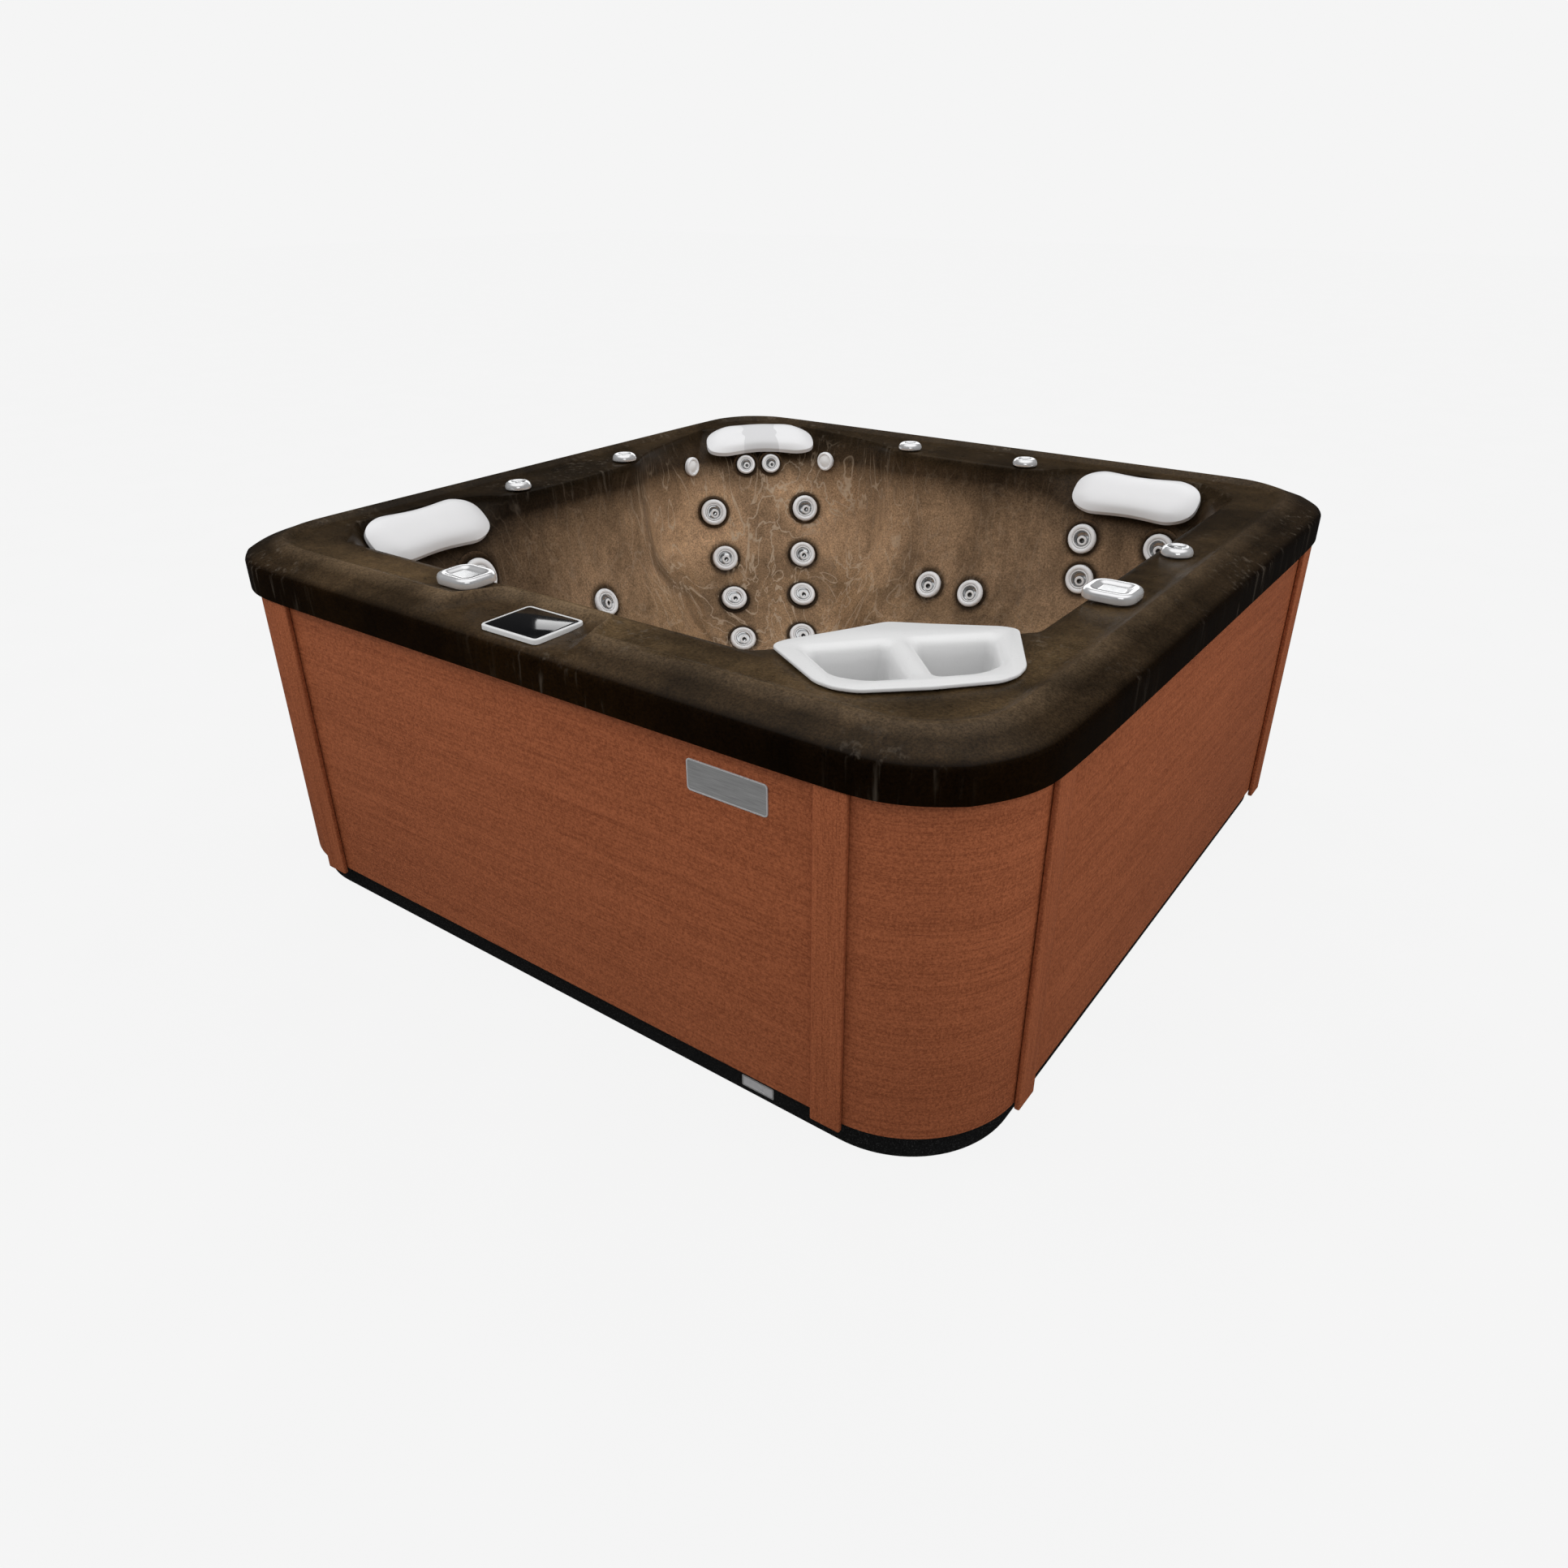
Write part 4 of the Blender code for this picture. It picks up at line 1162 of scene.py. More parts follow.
@dataclass
class Plates(Assembly):
    """Blank badge on the front panel and blank rating plate on the base."""

    badge_corner: float = 0.008
    badge_border: float = 0.0022
    rating_corner: float = 0.003
    rating_border: float = 0.0030
    chamfer: float = 0.25
    sink: float = 0.35

    def build(self, looks: Looks) -> None:
        """Make both plates."""
        brushed, bright = looks["brushed"], looks["bright"]
        self.plate("badge_plate", self.badge_corner, self.badge_border, [brushed, bright])
        self.plate("rating_plate", self.rating_corner, self.rating_border, [bright, brushed])

    def plate(self, node: str, corner: float, border: float,
              finish: list[bpy.types.Material]) -> None:
        """Plate with a raised border in the place of a CAD node.

        Args:
            node: The CAD node.
            corner: Corner radius.
            border: Width of the border.
            finish: Finish of the sunk face, then of the border.
        """
        low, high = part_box(node)
        size, centre = high - low, (high + low) / 2
        bm = rounded_slab(size.x / 2, size.z / 2, corner, 0.0, size.y, 6,
                          (self.chamfer * size.y, 2))
        top = top_face(bm)
        bmesh.ops.inset_region(bm, faces=[top], thickness=border, use_even_offset=True)
        bmesh.ops.inset_region(bm, faces=[top], thickness=0.0004, depth=-self.sink * size.y)
        for f in bm.faces:
            f.material_index = int(f != top)
        place = Matrix.Translation((centre.x, high.y, centre.z)) @ Matrix.Rotation(
            math.radians(90), 4, "X")
        make_piece(f"{node}_blank", bm, finish, replaces=[node], place=place,
                   sharp=30.0)


# ---- head rests ---------------------------------------------------------------------------
@dataclass
class HeadRest(Assembly):
    """Moulded foam head rest: a crowned dumbbell with a smooth skin."""

    name: str
    width: float = 0.365
    height: float = 0.160
    thickness: float = 0.052
    waist: float = 0.82
    waist_reach: float = 0.62
    squareness: float = 2.9
    crown_power: float = 3.2
    arch: float = 0.0
    seams: tuple[float, ...] = ()
    seam_width: float = 0.022
    seam_depth: float = 0.10
    cuts: int = 11
    levels: int = 2

    def build(self, looks: Looks) -> None:
        """Make the head rest on its joint's axis."""
        node = f"pillow_{self.name}"
        bm = bmesh.new()
        bmesh.ops.create_cube(bm, size=2.0)
        bmesh.ops.subdivide_edges(bm, edges=bm.edges, cuts=self.cuts, use_grid_fill=True)
        # Faces between the outer seams take the second, darker grey finish.
        if self.seams:
            for face in bm.faces:
                across = face.calc_center_median().x
                face.material_index = int(self.seams[0] < across < self.seams[-1])
        for vert in bm.verts:
            vert.co = self.shaped(vert.co.copy())
        low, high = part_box(node)
        place = frame_on((low + high) / 2, joint_of(node)["axis"])
        piece = make_piece(f"{node}_foam", bm, [looks["foam"], looks["fold"]],
                           body=node, replaces=[node], place=place, sharp=180.0)
        smoothed(piece, self.levels)

    def shaped(self, co: Vector) -> Vector:
        """Move a point of a cube of half size 1 to the head rest's skin.

        Args:
            co: The point.

        Returns:
            Its new place, with X across, Y up the face and Z out of it.
        """
        norm = (abs(co.x) ** self.squareness + abs(co.y) ** self.squareness) ** (
            1.0 / self.squareness)
        largest = max(abs(co.x), abs(co.y))
        flat = largest / norm if norm > 1e-9 else 1.0
        x, y = co.x * flat, co.y * flat
        narrow = self.waist + (1.0 - self.waist) * min(1.0, (abs(x) / self.waist_reach) ** 2)
        crown = math.sqrt(max(0.0, 1.0 - min(1.0, largest) ** self.crown_power))
        z = co.z * (0.20 + 0.80 * crown) if co.z > 0 else co.z * (0.35 + 0.25 * crown)
        z *= 1.0 - self.seam_depth * sum(math.exp(-((x - s) / self.seam_width) ** 2)
                                         for s in self.seams)
        return Vector((0.5 * self.width * x,
                       0.5 * self.height * y * narrow - self.arch * x * x,
                       0.5 * self.thickness * z))


# ---- jets and controls --------------------------------------------------------------------
@dataclass
class Jets(Assembly):
    """Turning jet faces: a pearl ring round a plated cup with a slanted nozzle."""

    radius: float = 0.043
    neck: float = 0.031
    large: float = 0.055

    def sizes(self) -> dict[str, float]:
        """Radius of each jet by name."""
        names = [j["child"] for j in frame["joints"] if "jet" in j["child"]]
        return {n: self.neck if "neck" in n else self.large if "large" in n else self.radius
                for n in names}

    def build(self, looks: Looks) -> None:
        """Make every jet: a pearl ring, a plated cup and nozzle, and a bore coloured near black as
        painted shade.
        """
        finish = [looks["ring"], looks["plated"], looks["bore"]]
        for name, r in self.sizes().items():
            make_piece(f"{name}_face", self.face(r), finish, body=name,
                       replaces=[name], place=joint_place(name), sharp=32.0)

    def face(self, r: float) -> bmesh.types.BMesh:
        """Shape of one jet with its axis along Z.

        Args:
            r: Outer radius.

        Returns:
            The jet as a bmesh.
        """
        profile = [(0.0, -0.004), (0.94 * r, -0.004), (0.985 * r, -0.001), (r, 0.003),
                   (0.975 * r, 0.0065), (0.92 * r, 0.0092), (0.85 * r, 0.0106),
                   (0.76 * r, 0.0104), (0.70 * r, 0.0090), (0.670 * r, 0.0070),
                   (0.655 * r, 0.0070), (0.635 * r, 0.0088), (0.58 * r, 0.0090),
                   (0.545 * r, 0.0072), (0.49 * r, 0.0036), (0.36 * r, 0.0016), (0.0, 0.0016)]
        # Segment 9, the thin groove between the ring and the cup, takes the near-black finish as a
        # painted shadow.
        marks = {9: 2, 10: 0, 11: 0, 12: 0, 13: 1, 14: 1, 15: 1}
        bm = turned(profile, 48, marks)
        self.nozzle(bm, r)
        return bm

    def nozzle(self, bm: bmesh.types.BMesh, r: float) -> None:
        """Add the slanted nozzle: a tilted plated barrel with a bore coloured near black as
        painted shade, and a hooked vane.

        Args:
            bm: The jet.
            r: Its radius.
        """
        # The bore's wall and floor, segments 5 and 6, take the near-black finish as painted shade.
        barrel = turned([(0.0, -0.002), (0.33 * r, -0.002), (0.33 * r, 0.0075),
                         (0.30 * r, 0.0090), (0.18 * r, 0.0090), (0.15 * r, 0.0070),
                         (0.13 * r, 0.0020), (0.0, 0.0020)], 24,
                        {0: 1, 1: 1, 2: 0, 3: 0, 4: 1, 5: 2, 6: 2})
        tilt = Matrix.Translation((0.03 * r, -0.08 * r, 0.0)) @ Matrix.Rotation(
            math.radians(16), 4, (0.7, 0.7, 0.0))
        bmesh.ops.transform(barrel, matrix=tilt, verts=barrel.verts)
        vane = bmesh.new()
        start = [vane.verts.new(p) for p in ((0.40 * r, 0.0, -0.001), (0.50 * r, 0.0, -0.001),
                                             (0.50 * r, 0.0, 0.0085), (0.43 * r, 0.0, 0.0085))]
        section = vane.faces.new(start)
        bmesh.ops.spin(vane, geom=[section], cent=(0, 0, 0), axis=(0, 0, 1),
                       angle=math.radians(150), steps=14)
        bmesh.ops.remove_doubles(vane, verts=vane.verts, dist=1e-6)
        bmesh.ops.rotate(vane, cent=(0, 0, 0), matrix=Matrix.Rotation(math.radians(70), 3, "Z"),
                         verts=vane.verts)
        for face in vane.faces:
            face.material_index = 1
        for extra in (barrel, vane):
            join_into(bm, extra)


@dataclass
class AirKnobs(Assembly):
    """Low turned caps on the deck with a scooped thumb dish."""

    radius: float = 0.037
    height: float = 0.019
    scoops: int = 3
    scoop_depth: float = 0.035

    def build(self, looks: Looks) -> None:
        """Make every air knob: a chrome cap with a plated dish."""
        for name in [j["child"] for j in frame["joints"] if j["child"].startswith("air_knob")]:
            make_piece(f"{name}_cap", self.cap(), [looks["chrome"], looks["plated"]],
                       body=name, replaces=[name], place=foot_place(name), sharp=40.0)

    def cap(self) -> bmesh.types.BMesh:
        """Shape of one cap with its axis along Z."""
        r, h = self.radius, self.height
        profile = [(0.0, 0.0), (0.90 * r, 0.0), (0.97 * r, 0.05 * h), (r, 0.18 * h),
                   (0.985 * r, 0.40 * h), (0.93 * r, 0.66 * h), (0.84 * r, 0.86 * h),
                   (0.74 * r, 0.97 * h), (0.64 * r, h), (0.57 * r, 0.96 * h),
                   (0.52 * r, 0.84 * h), (0.40 * r, 0.76 * h), (0.20 * r, 0.73 * h),
                   (0.0, 0.72 * h)]
        bm = turned(profile, 60, {10: 1, 11: 1, 12: 1})
        for vert in bm.verts:
            out = math.hypot(vert.co.x, vert.co.y)
            if out > 0.80 * r and vert.co.z > 0.1 * h:
                wave = 0.5 + 0.5 * math.cos(self.scoops * math.atan2(vert.co.y, vert.co.x))
                vert.co.xy *= 1.0 - self.scoop_depth * wave ** 8
        grip = block((-0.22 * r, -0.10 * r, 0.70 * h), (0.22 * r, 0.10 * r, 0.90 * h))
        round_edges(grip, grip.edges[:], 0.0012, 2)
        join_into(bm, grip)
        return bm


@dataclass
class Diverters(Assembly):
    """Large squared, pillow-topped handles on the deck."""

    half_x: float = 0.058
    half_y: float = 0.052
    radius: float = 0.036
    height: float = 0.022
    dish: tuple[tuple[float, float], ...] = ((0.009, 0.0), (0.004, -0.0030), (0.005, -0.0022),
                                             (0.005, -0.0006))

    def build(self, looks: Looks) -> None:
        """Make both handles, in chrome with a plated middle."""
        for name in ("diverter_front", "diverter_right"):
            make_piece(f"{name}_handle", self.handle(), [looks["chrome"], looks["plated"]],
                       body=name, replaces=[name], place=foot_place(name), sharp=40.0)

    def handle(self) -> bmesh.types.BMesh:
        """Shape of one handle with its axis along Z."""
        bm = rounded_slab(self.half_x, self.half_y, self.radius, 0.0, self.height, 10,
                          (0.010, 6))
        foot = min(bm.faces, key=lambda f: f.calc_center_median().z)
        round_edges(bm, foot.edges, 0.004, 3)
        top = top_face(bm)
        for thickness, depth in self.dish:
            bmesh.ops.inset_region(bm, faces=[top], thickness=thickness, depth=depth)
        top.material_index = 1
        return bm


@dataclass
class Lights(Assembly):
    """Frosted lamp lenses in pearl rings."""

    radius: float = 0.031
    sunk: float = 0.004

    def build(self, looks: Looks) -> None:
        """Make both lamps in the places of their CAD nodes."""
        r = self.radius
        for name in ("light_left", "light_back"):
            bm = turned([(0.0, -0.006), (0.96 * r, -0.006), (r, 0.0), (0.97 * r, 0.0050),
                         (0.86 * r, 0.0075), (0.74 * r, 0.0068), (0.66 * r, 0.0035),
                         (0.50 * r, 0.0058), (0.26 * r, 0.0085), (0.0, 0.0095)], 48,
                        {6: 1, 7: 1, 8: 1})
            make_piece(f"{name}_lamp", bm, [looks["ring"], looks["lens"]],
                       replaces=[name], place=self.lamp_place(name))

    def lamp_place(self, name: str) -> Matrix:
        """Placement of a lamp: its node's flattest direction, facing the tub's middle."""
        low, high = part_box(name)
        centre = (low + high) / 2
        normal = max(frame["nodes"][name].data.polygons, key=lambda p: p.area).normal.copy()
        if normal.dot(Vector((centre.x, centre.y, 0.0))) > 0:
            normal.negate()
        return frame_on(centre - normal * self.sunk, normal)


@dataclass
class ControlPanel(Assembly):
    """Top-side control: white bezel round a black glass screen."""

    corner: float = 0.012
    screen_corner: float = 0.0075
    lip: float = 0.0062
    edge: float = 0.0022

    def build(self, looks: Looks) -> None:
        """Make the bezel and the screen."""
        low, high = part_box("control_bezel")
        place = Matrix.Translation(((low.x + high.x) / 2, (low.y + high.y) / 2, 0.0))
        size = high - low
        bm = rounded_slab(size.x / 2, size.y / 2, self.corner, low.z, high.z, 8, (self.edge, 4))
        top = top_face(bm)
        bmesh.ops.inset_region(bm, faces=[top], thickness=self.lip - self.edge,
                               use_even_offset=True)
        bmesh.ops.inset_region(bm, faces=[top], thickness=0.0003, depth=-self.lip)
        make_piece("control_bezel_frame", bm, [looks["white"]],
                   replaces=["control_bezel"], place=place, sharp=30.0)
        low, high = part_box("control_screen")
        size = high - low
        bm = rounded_slab(size.x / 2, size.y / 2, self.screen_corner, low.z, high.z - 0.0004, 8,
                          (0.0008, 2))
        make_piece("control_screen_glass", bm, [looks["glass"]],
                   replaces=["control_screen"], place=place, sharp=30.0)


# ---- filter -------------------------------------------------------------------------------
@dataclass
class SkimFilter(Assembly):
    """Lift-out twin basket, its housing, and the pleated cartridge below."""

    pleats: int = 64
    pleat_depth: float = 0.88
    rim: tuple[tuple[float, float], ...] = ((0.0, 0.835), (0.085, 0.862), (0.215, 0.898),
                                            (0.240, 0.918), (0.192, 1.095), (0.165, 1.130),
                                            (0.127, 1.150), (0.0, 1.157))
    block: tuple[tuple[float, float], ...] = ((0.184, 0.939), (0.1925, 0.9465),
                                              (0.159, 1.0805), (0.1078, 1.115))
    bin: tuple[tuple[float, float], ...] = ((0.024, 0.944), (0.180, 0.950), (0.152, 1.070),
                                            (0.105, 1.100), (0.024, 1.102))
    rim_thickness: float = 0.008
    corner: float = 0.013
    bin_corner: float = 0.020
    bin_half: float = 0.078
    throat: float = 0.030
    flare: tuple[tuple[float, float], ...] = ((-0.010, 0.0), (-0.002, 0.0035), (0.002, 0.007),
                                              (0.005, 0.0125), (0.007, 0.018), (0.0081, 0.0225),
                                              (0.030, 0.0225))

    def build(self, looks: Looks) -> None:
        """Make the filter's pieces."""
        white = looks["white"]
        make_piece("filter_basket_tray", self.basket(), [white], body="filter_basket",
                   replaces=["filter_basket"], sharp=40.0)
        make_piece("filter_housing_well", refined_copy("filter_housing", 0.0006), [white],
                   replaces=["filter_housing"], sharp=30.0, recalc=False)
        self.cartridge(white, looks["paper"])

    def basket(self) -> bmesh.types.BMesh:
        """Shape of the basket: a thin rim, a hanging block and two bins with flared mouths."""
        low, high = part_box("filter_basket")
        under = high.z - self.rim_thickness
        rim = plan_prism(closed_half(self.rim), under, high.z)
        round_edges(rim, [e for e in hard_edges(rim, 8.0) if upright(e)], self.corner, 5)
        round_edges(rim, hard_edges(rim, 60.0), 0.0028, 3)
        hanging = plan_prism(closed_half(self.block), low.z, under + 0.002)
        round_edges(hanging, [e for e in hanging.edges if upright(e)], 0.004, 3)
        cuts = [("DIFFERENCE", self.bin_space(sign, low.z + 0.004, under)) for sign in (-1, 1)]
        body = added("basket_body", rim)
        bm = bmesh.new()
        bm.from_mesh(carved(body, [("UNION", hanging)] + cuts))
        bpy.data.objects.remove(body)
        return bm

    def bin_space(self, sign: int, floor: float, under: float) -> bmesh.types.BMesh:
        """Space of one bin, which widens through the rim.

        Args:
            sign: 1 or -1, the side of the corner's diagonal.
            floor: Height of its floor.
            under: Height of the rim's underside.

        Returns:
            The space as a bmesh.
        """
        plan = [((sign * a + d) / ROOT2, (sign * a - d) / ROOT2) for a, d in self.bin]
        height, half = under - self.throat, self.bin_half
        bm = plan_prism(plan, floor, height)
        round_edges(bm, [e for e in bm.edges if upright(e)], self.bin_corner, 6)
        top = top_face(bm)
        middle = top.calc_center_median()
        for rise, grow in self.flare:
            upper, = pushed(bm, [top], (0.0, 0.0, under + rise - height))
            bmesh.ops.delete(bm, geom=[top], context="FACES_ONLY")
            scale = (self.bin_half + grow) / half
            bmesh.ops.scale(bm, verts=upper.verts, vec=(scale, scale, 1.0),
                            space=Matrix.Translation(-middle))
            top, height, half = upper, under + rise, self.bin_half + grow
        bmesh.ops.recalc_face_normals(bm, faces=bm.faces)
        return bm

    def cartridge(self, white: bpy.types.Material, paper: bpy.types.Material) -> None:
        """Pleated sleeve between two moulded ends.

        Args:
            white: Finish of the ends.
            paper: Finish of the sleeve.
        """
        low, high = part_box("filter_cartridge")
        centre = (low + high) / 2
        r, top = (high.x - low.x) / 2, high.z - low.z
        bm = turned([(0.0, 0.0), (0.97 * r, 0.0), (r, 0.003), (r, 0.020), (0.95 * r, 0.024),
                     (0.90 * r, 0.024)] + [(0.90 * r, z) for z in (0.14, 0.25)]
                    + [(0.90 * r, 0.336), (0.95 * r, 0.336), (r, 0.340), (r, 0.358),
                       (0.97 * r, 0.361), (0.45 * r, 0.361), (0.40 * r, 0.366),
                       (0.36 * r, top), (0.0, top)], 2 * self.pleats, {5: 1, 6: 1, 7: 1})
        for vert in bm.verts:
            out = math.hypot(vert.co.x, vert.co.y)
            turn = math.atan2(vert.co.y, vert.co.x) / math.tau * 2 * self.pleats
            if abs(out - 0.90 * r) < 1e-4 and round(turn) % 2:
                vert.co.xy *= self.pleat_depth
        make_piece("filter_cartridge_pleated", bm, [white, paper],
                   body="filter_cartridge", replaces=["filter_cartridge"],
                   place=Matrix.Translation((centre.x, centre.y, low.z)), sharp=25.0)


@dataclass
class Plant(Assembly):
    """Hidden plant and frame, whose CAD shapes stay and get their finishes."""

    finishes: dict[str, str] = field(default_factory=lambda: {
        "cabinet_frame": "timber", "circulation_pump": "motor", "control_pack": "motor",
        "heater_tube": "steel", "pressure_pipe": "pipe", "suction_cover": "ring"})

    def build(self, looks: Looks) -> None:
        """Give each node its finish."""
        for node, finish in self.finishes.items():
            mesh = frame["nodes"][node].data
            mesh.materials.clear()
            mesh.materials.append(looks[finish])


# ---- studio -------------------------------------------------------------------------------
@dataclass
class Studio:
    """Pale floor, soft lights and the camera."""

    paper: float = 0.913
    floor_half: float = 30.0
    ambient: float = 0.86
    floor_gloss: float = 0.12
    gloss_low: float = 0.035
    gloss_high: float = 1.0
    climb: tuple[float, float] = (0.60, 0.92)
    camera_at: tuple[float, float, float] = (1.648, -2.381, 1.661)
    yaw: float = -36.14
    pitch: float = 28.48
    roll: float = -0.29
    lens: float = 25.75

    def build(self) -> None:
        """Make the whole studio."""
        self.floor()
        self.world()
        self.softbox("key_softbox", (-3.2, -3.4, 4.2), (0.0, 0.0, 0.4), (2.6, 1.8), 60.0)
        self.softbox("top_softbox", (0.4, 1.6, 4.4), (0.0, 0.2, 0.6), (3.2, 1.2), 30.0)
        self.softbox("side_softbox", (4.4, 0.8, 2.0), (0.6, -0.2, 0.5), (1.2, 2.0), 27.0)
        self.softbox("screen_card", (-2.76, 1.83, 2.30), (0.0, -0.97, 0.88), (0.62, 1.3), 7.5,
                     only=("_screen_glass",))
        plated = ("_cap", "_handle", "_face", "_lamp")
        self.softbox("far_card", (-2.6, 3.8, 2.5), (0.0, 0.0, 0.85), (5.0, 2.2), 42.0, only=plated)
        self.softbox("near_card", (2.4, -3.2, 3.1), (0.0, 0.0, 0.6), (2.2, 1.6), 13.0, only=plated)
        self.camera()

    def floor(self) -> None:
        """Pale floor that the camera sees as bright as the backdrop."""
        bm = bmesh.new()
        bmesh.ops.create_grid(bm, x_segments=8, y_segments=8, size=self.floor_half,
                              matrix=Matrix.Translation((0.0, 0.0, -0.0005)))
        floor = added("studio_floor", bm)
        floor.data.materials.append(self.floor_material())

    def floor_material(self) -> bpy.types.Material:
        """Emission for the camera, with a little of the real shade; dim to everything else."""
        book = NodeBook("studio_paper")
        path = book.add("LightPath", {})
        grain = book.remap(book.noise(book.coords(), 3.0, 3.0), 0.3, 0.7, 0.997, 1.003)
        glow = book.add("Emission", {"Color": book.scaled((self.paper,) * 3, grain)})
        shade = book.add("BsdfDiffuse", {"Color": (0.90, 0.90, 0.90, 1.0)})
        strength = book.remap(path.outputs["Is Glossy Ray"], 0.0, 1.0, 1.0, self.floor_gloss)
        dim = book.add("Emission", {"Color": (0.22, 0.22, 0.22, 1.0), "Strength": strength})
        seen = book.choose(0.03, glow, shade)
        return book.finish(book.choose(path.outputs["Is Camera Ray"], dim, seen))

    def world(self) -> None:
        """Backdrop for the camera, soft light for matt surfaces and a dimmer sky for gloss."""
        book = NodeBook("studio", world=True)
        bpy.context.scene.world = book.owner
        path = book.add("LightPath", {})
        ray = book.add("SeparateXYZ", {0: book.add("TexCoord", {}).outputs["Generated"]})
        climb = book.remap(ray.outputs["Z"], *self.climb, self.gloss_low, self.gloss_high, True)
        soft, sky, backdrop = (
            book.add("Background", {"Color": (shade, shade, shade, 1.0), "Strength": strength})
            for shade, strength in ((self.ambient, 1.0), (1.0, climb), (self.paper, 1.0)))
        unseen = book.choose(path.outputs["Is Glossy Ray"], soft, sky)
        book.finish(book.choose(path.outputs["Is Camera Ray"], unseen, backdrop))

    def softbox(self, name: str, place: Sequence[float], target: Sequence[float],
                size: tuple[float, float], power: float,
                only: tuple[str, ...] = ()) -> None:
        """Rectangular soft light that the camera doesn't see, nor gloss unless it is for a few.

        Args:
            name: Its name.
            place: Where it hangs.
            target: What it faces.
            size: Width and height.
            power: Watts.
            only: Endings of the names of the only pieces that it lights, if any.
        """
        light = bpy.data.lights.new(name, "AREA")
        light.shape, light.energy = "RECTANGLE", power
        light.size, light.size_y = size
        lamp = added(name, light)
        lamp.matrix_world = frame_on(place, Vector(place) - Vector(target))
        lamp.visible_camera, lamp.visible_glossy = False, bool(only)
        if only:
            lit = bpy.data.collections.new(f"{name}_lit")
            for piece in bpy.context.scene.objects:
                if piece.name.endswith(only):
                    lit.objects.link(piece)
            lamp.light_linking.receiver_collection = lit

    def camera(self) -> None:
        """Camera at the fitted place and angle."""
        data = bpy.data.cameras.new("camera")
        data.lens, data.sensor_width = self.lens, 36.0
        yaw, pitch = math.radians(self.yaw), math.radians(self.pitch)
        ahead = Vector((math.sin(yaw) * math.cos(pitch), math.cos(yaw) * math.cos(pitch),
                        -math.sin(pitch)))
        right = Vector((math.cos(yaw), -math.sin(yaw), 0.0))
        rot = Matrix((right, right.cross(ahead), -ahead)).transposed()
        rot = rot @ Matrix.Rotation(math.radians(self.roll), 3, "Z")
        camera = added("camera", data)
        camera.matrix_world = Matrix.Translation(self.camera_at) @ rot.to_4x4()
        bpy.context.scene.camera = camera
        bpy.context.scene.view_settings.view_transform = "Standard"


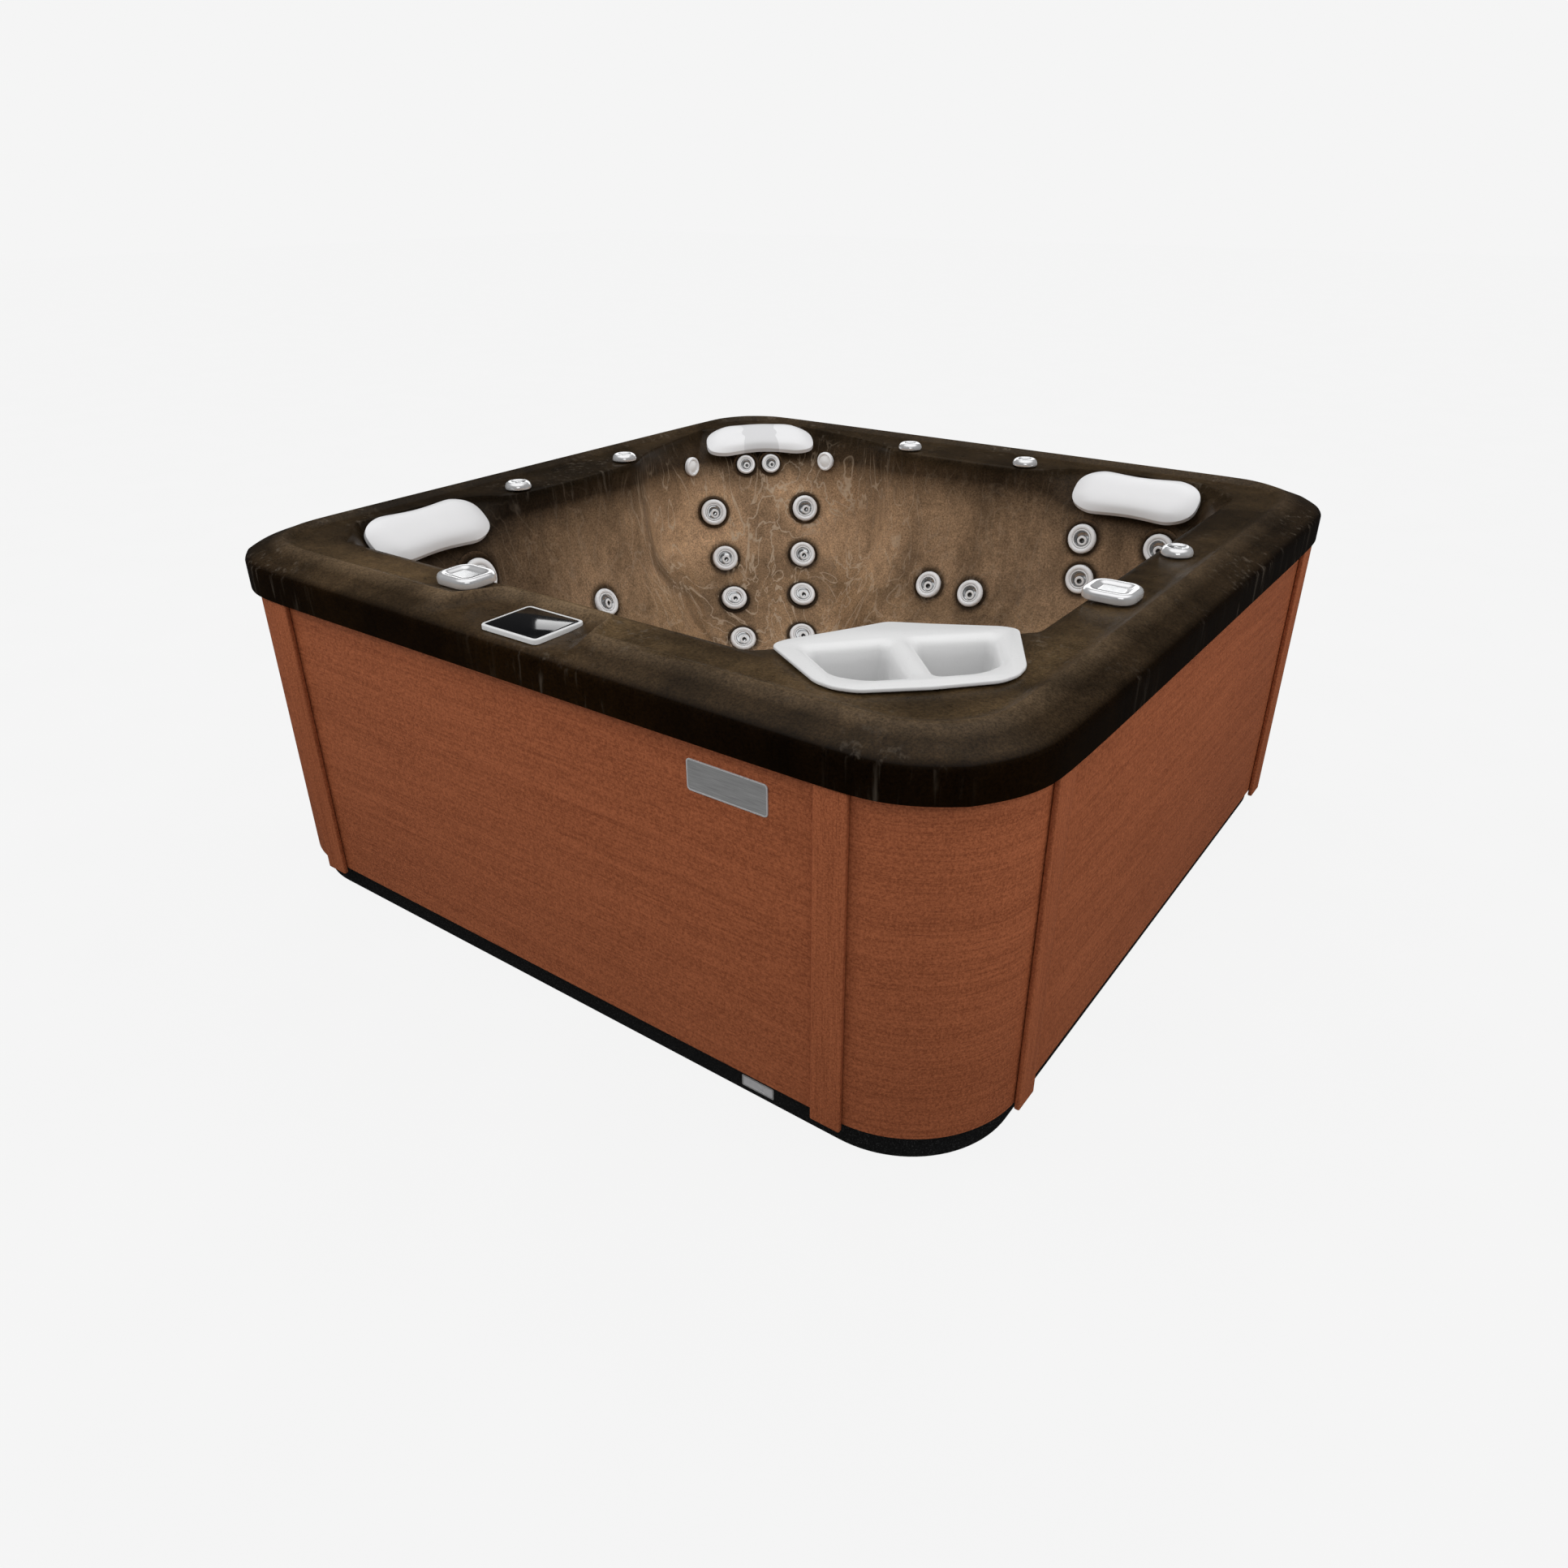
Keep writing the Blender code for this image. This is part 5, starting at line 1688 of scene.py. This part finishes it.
def finishes() -> Looks:
    """All finishes by name."""
    # Centre and radius of each jet, for the painted shade round it in the acrylic.
    jet_shade_spots = [(joint_place(name).translation, r) for name, r in Jets().sizes().items()]
    return {
        "acrylic": MarbledAcrylic().build(jet_shade_spots),
        "flat": WoodGrain(Grain.HORIZONTAL).build(),
        "strip": WoodGrain(Grain.VERTICAL).build(),
        "base": TwoTone("speckled_base", ((0.0065, 0.0065, 0.0068), (0.060, 0.062, 0.062)),
                        (330.0, 3.0, 0.7), (0.56, 0.70, 0.0, 0.8), (0.62, 0.85),
                        specular=0.3, relief=0.0004).build(),
        "brushed": Metal("brushed_plate", (0.36, 0.36, 0.36), 0.45, (1.0, 1.0, 26.0),
                         drift=0.22, grain=22.0, metallic=0.25).build(),
        "bright": Metal("bright_border", (0.66, 0.66, 0.67), 0.28, metallic=0.3).build(),
        "chrome": Metal("chrome", (0.90, 0.90, 0.91), 0.12, drift=0.02, metallic=0.62,
                        coat=0.6).build(),
        "plated": Metal("plated_cup", (0.70, 0.71, 0.72), 0.14, drift=0.10, metallic=0.85,
                        coat=0.5).build(),
        "steel": Metal("steel_tube", (0.60, 0.60, 0.60), 0.32).build(),
        "ring": Moulded("pearl_ring", (0.86, 0.86, 0.87), 0.22, coat=0.6).build(),
        # Near black: painted shade in the nozzles' bores and in the grooves round the cups.
        "bore": Moulded("dark_bore", (0.030, 0.029, 0.028), 0.35).build(),
        "lens": Moulded("frosted_lens", (0.88, 0.88, 0.88), 0.30, coat=0.4).build(),
        "foam": Moulded("foam_skin", (0.755, 0.755, 0.765), 0.36, 0.012, 420.0, 0.00004,
                        coat=0.15).build(),
        # Darker grey for the middle panel between a head rest's seams.
        "fold": Moulded("foam_fold", (0.62, 0.62, 0.63), 0.42, 0.012, 420.0, 0.00004).build(),
        "white": Moulded("white_moulding", (0.74, 0.74, 0.74), 0.32, 0.015, 260.0, 0.00004,
                         coat=0.15).build(),
        "paper": Moulded("pleated_paper", (0.55, 0.62, 0.70), 0.85, 0.06).build(),
        "glass": TwoTone("control_glass", ((0.004, 0.004, 0.0045), (0.020, 0.020, 0.022)),
                         (900.0, 2.0, 0.8), (0.55, 0.75), (0.05, 0.10), specular=0.30).build(),
        "timber": TwoTone("sawn_timber", ((0.50, 0.33, 0.17), (0.66, 0.50, 0.31)),
                          (6.0, 6.0, 0.6, 1.5), (0.35, 0.65), (0.65, 0.85), (6.0, 6.0, 1.5),
                          relief=0.0005).build(),
        "motor": Moulded("cast_motor", (0.028, 0.028, 0.030), 0.45, 0.15).build(),
        "pipe": Moulded("plastic_pipe", (0.72, 0.72, 0.70), 0.35).build(),
    }


def main() -> None:
    """Build every sub-assembly and the studio."""
    logging.basicConfig(level=logging.INFO, format="%(message)s")
    looks = finishes()
    head_rests = (HeadRest("back_left", arch=0.030, seams=(-1 / 3, 1 / 3)),
                  HeadRest("back_right"), HeadRest("front_left"))
    for assembly in (TubShell(), Collars(), Cabinet(), BasePan(), Plates(), *head_rests, Jets(),
                     AirKnobs(), Diverters(), Lights(), ControlPanel(), SkimFilter(), Plant()):
        assembly.build(looks)
    Studio().build()
    for piece in bpy.context.scene.objects:
        if piece.type == "MESH" and not piece.hide_render:
            LOG.info("piece %s: %d faces", piece.name, len(piece.data.polygons))


if __name__ == "__main__":
    main()
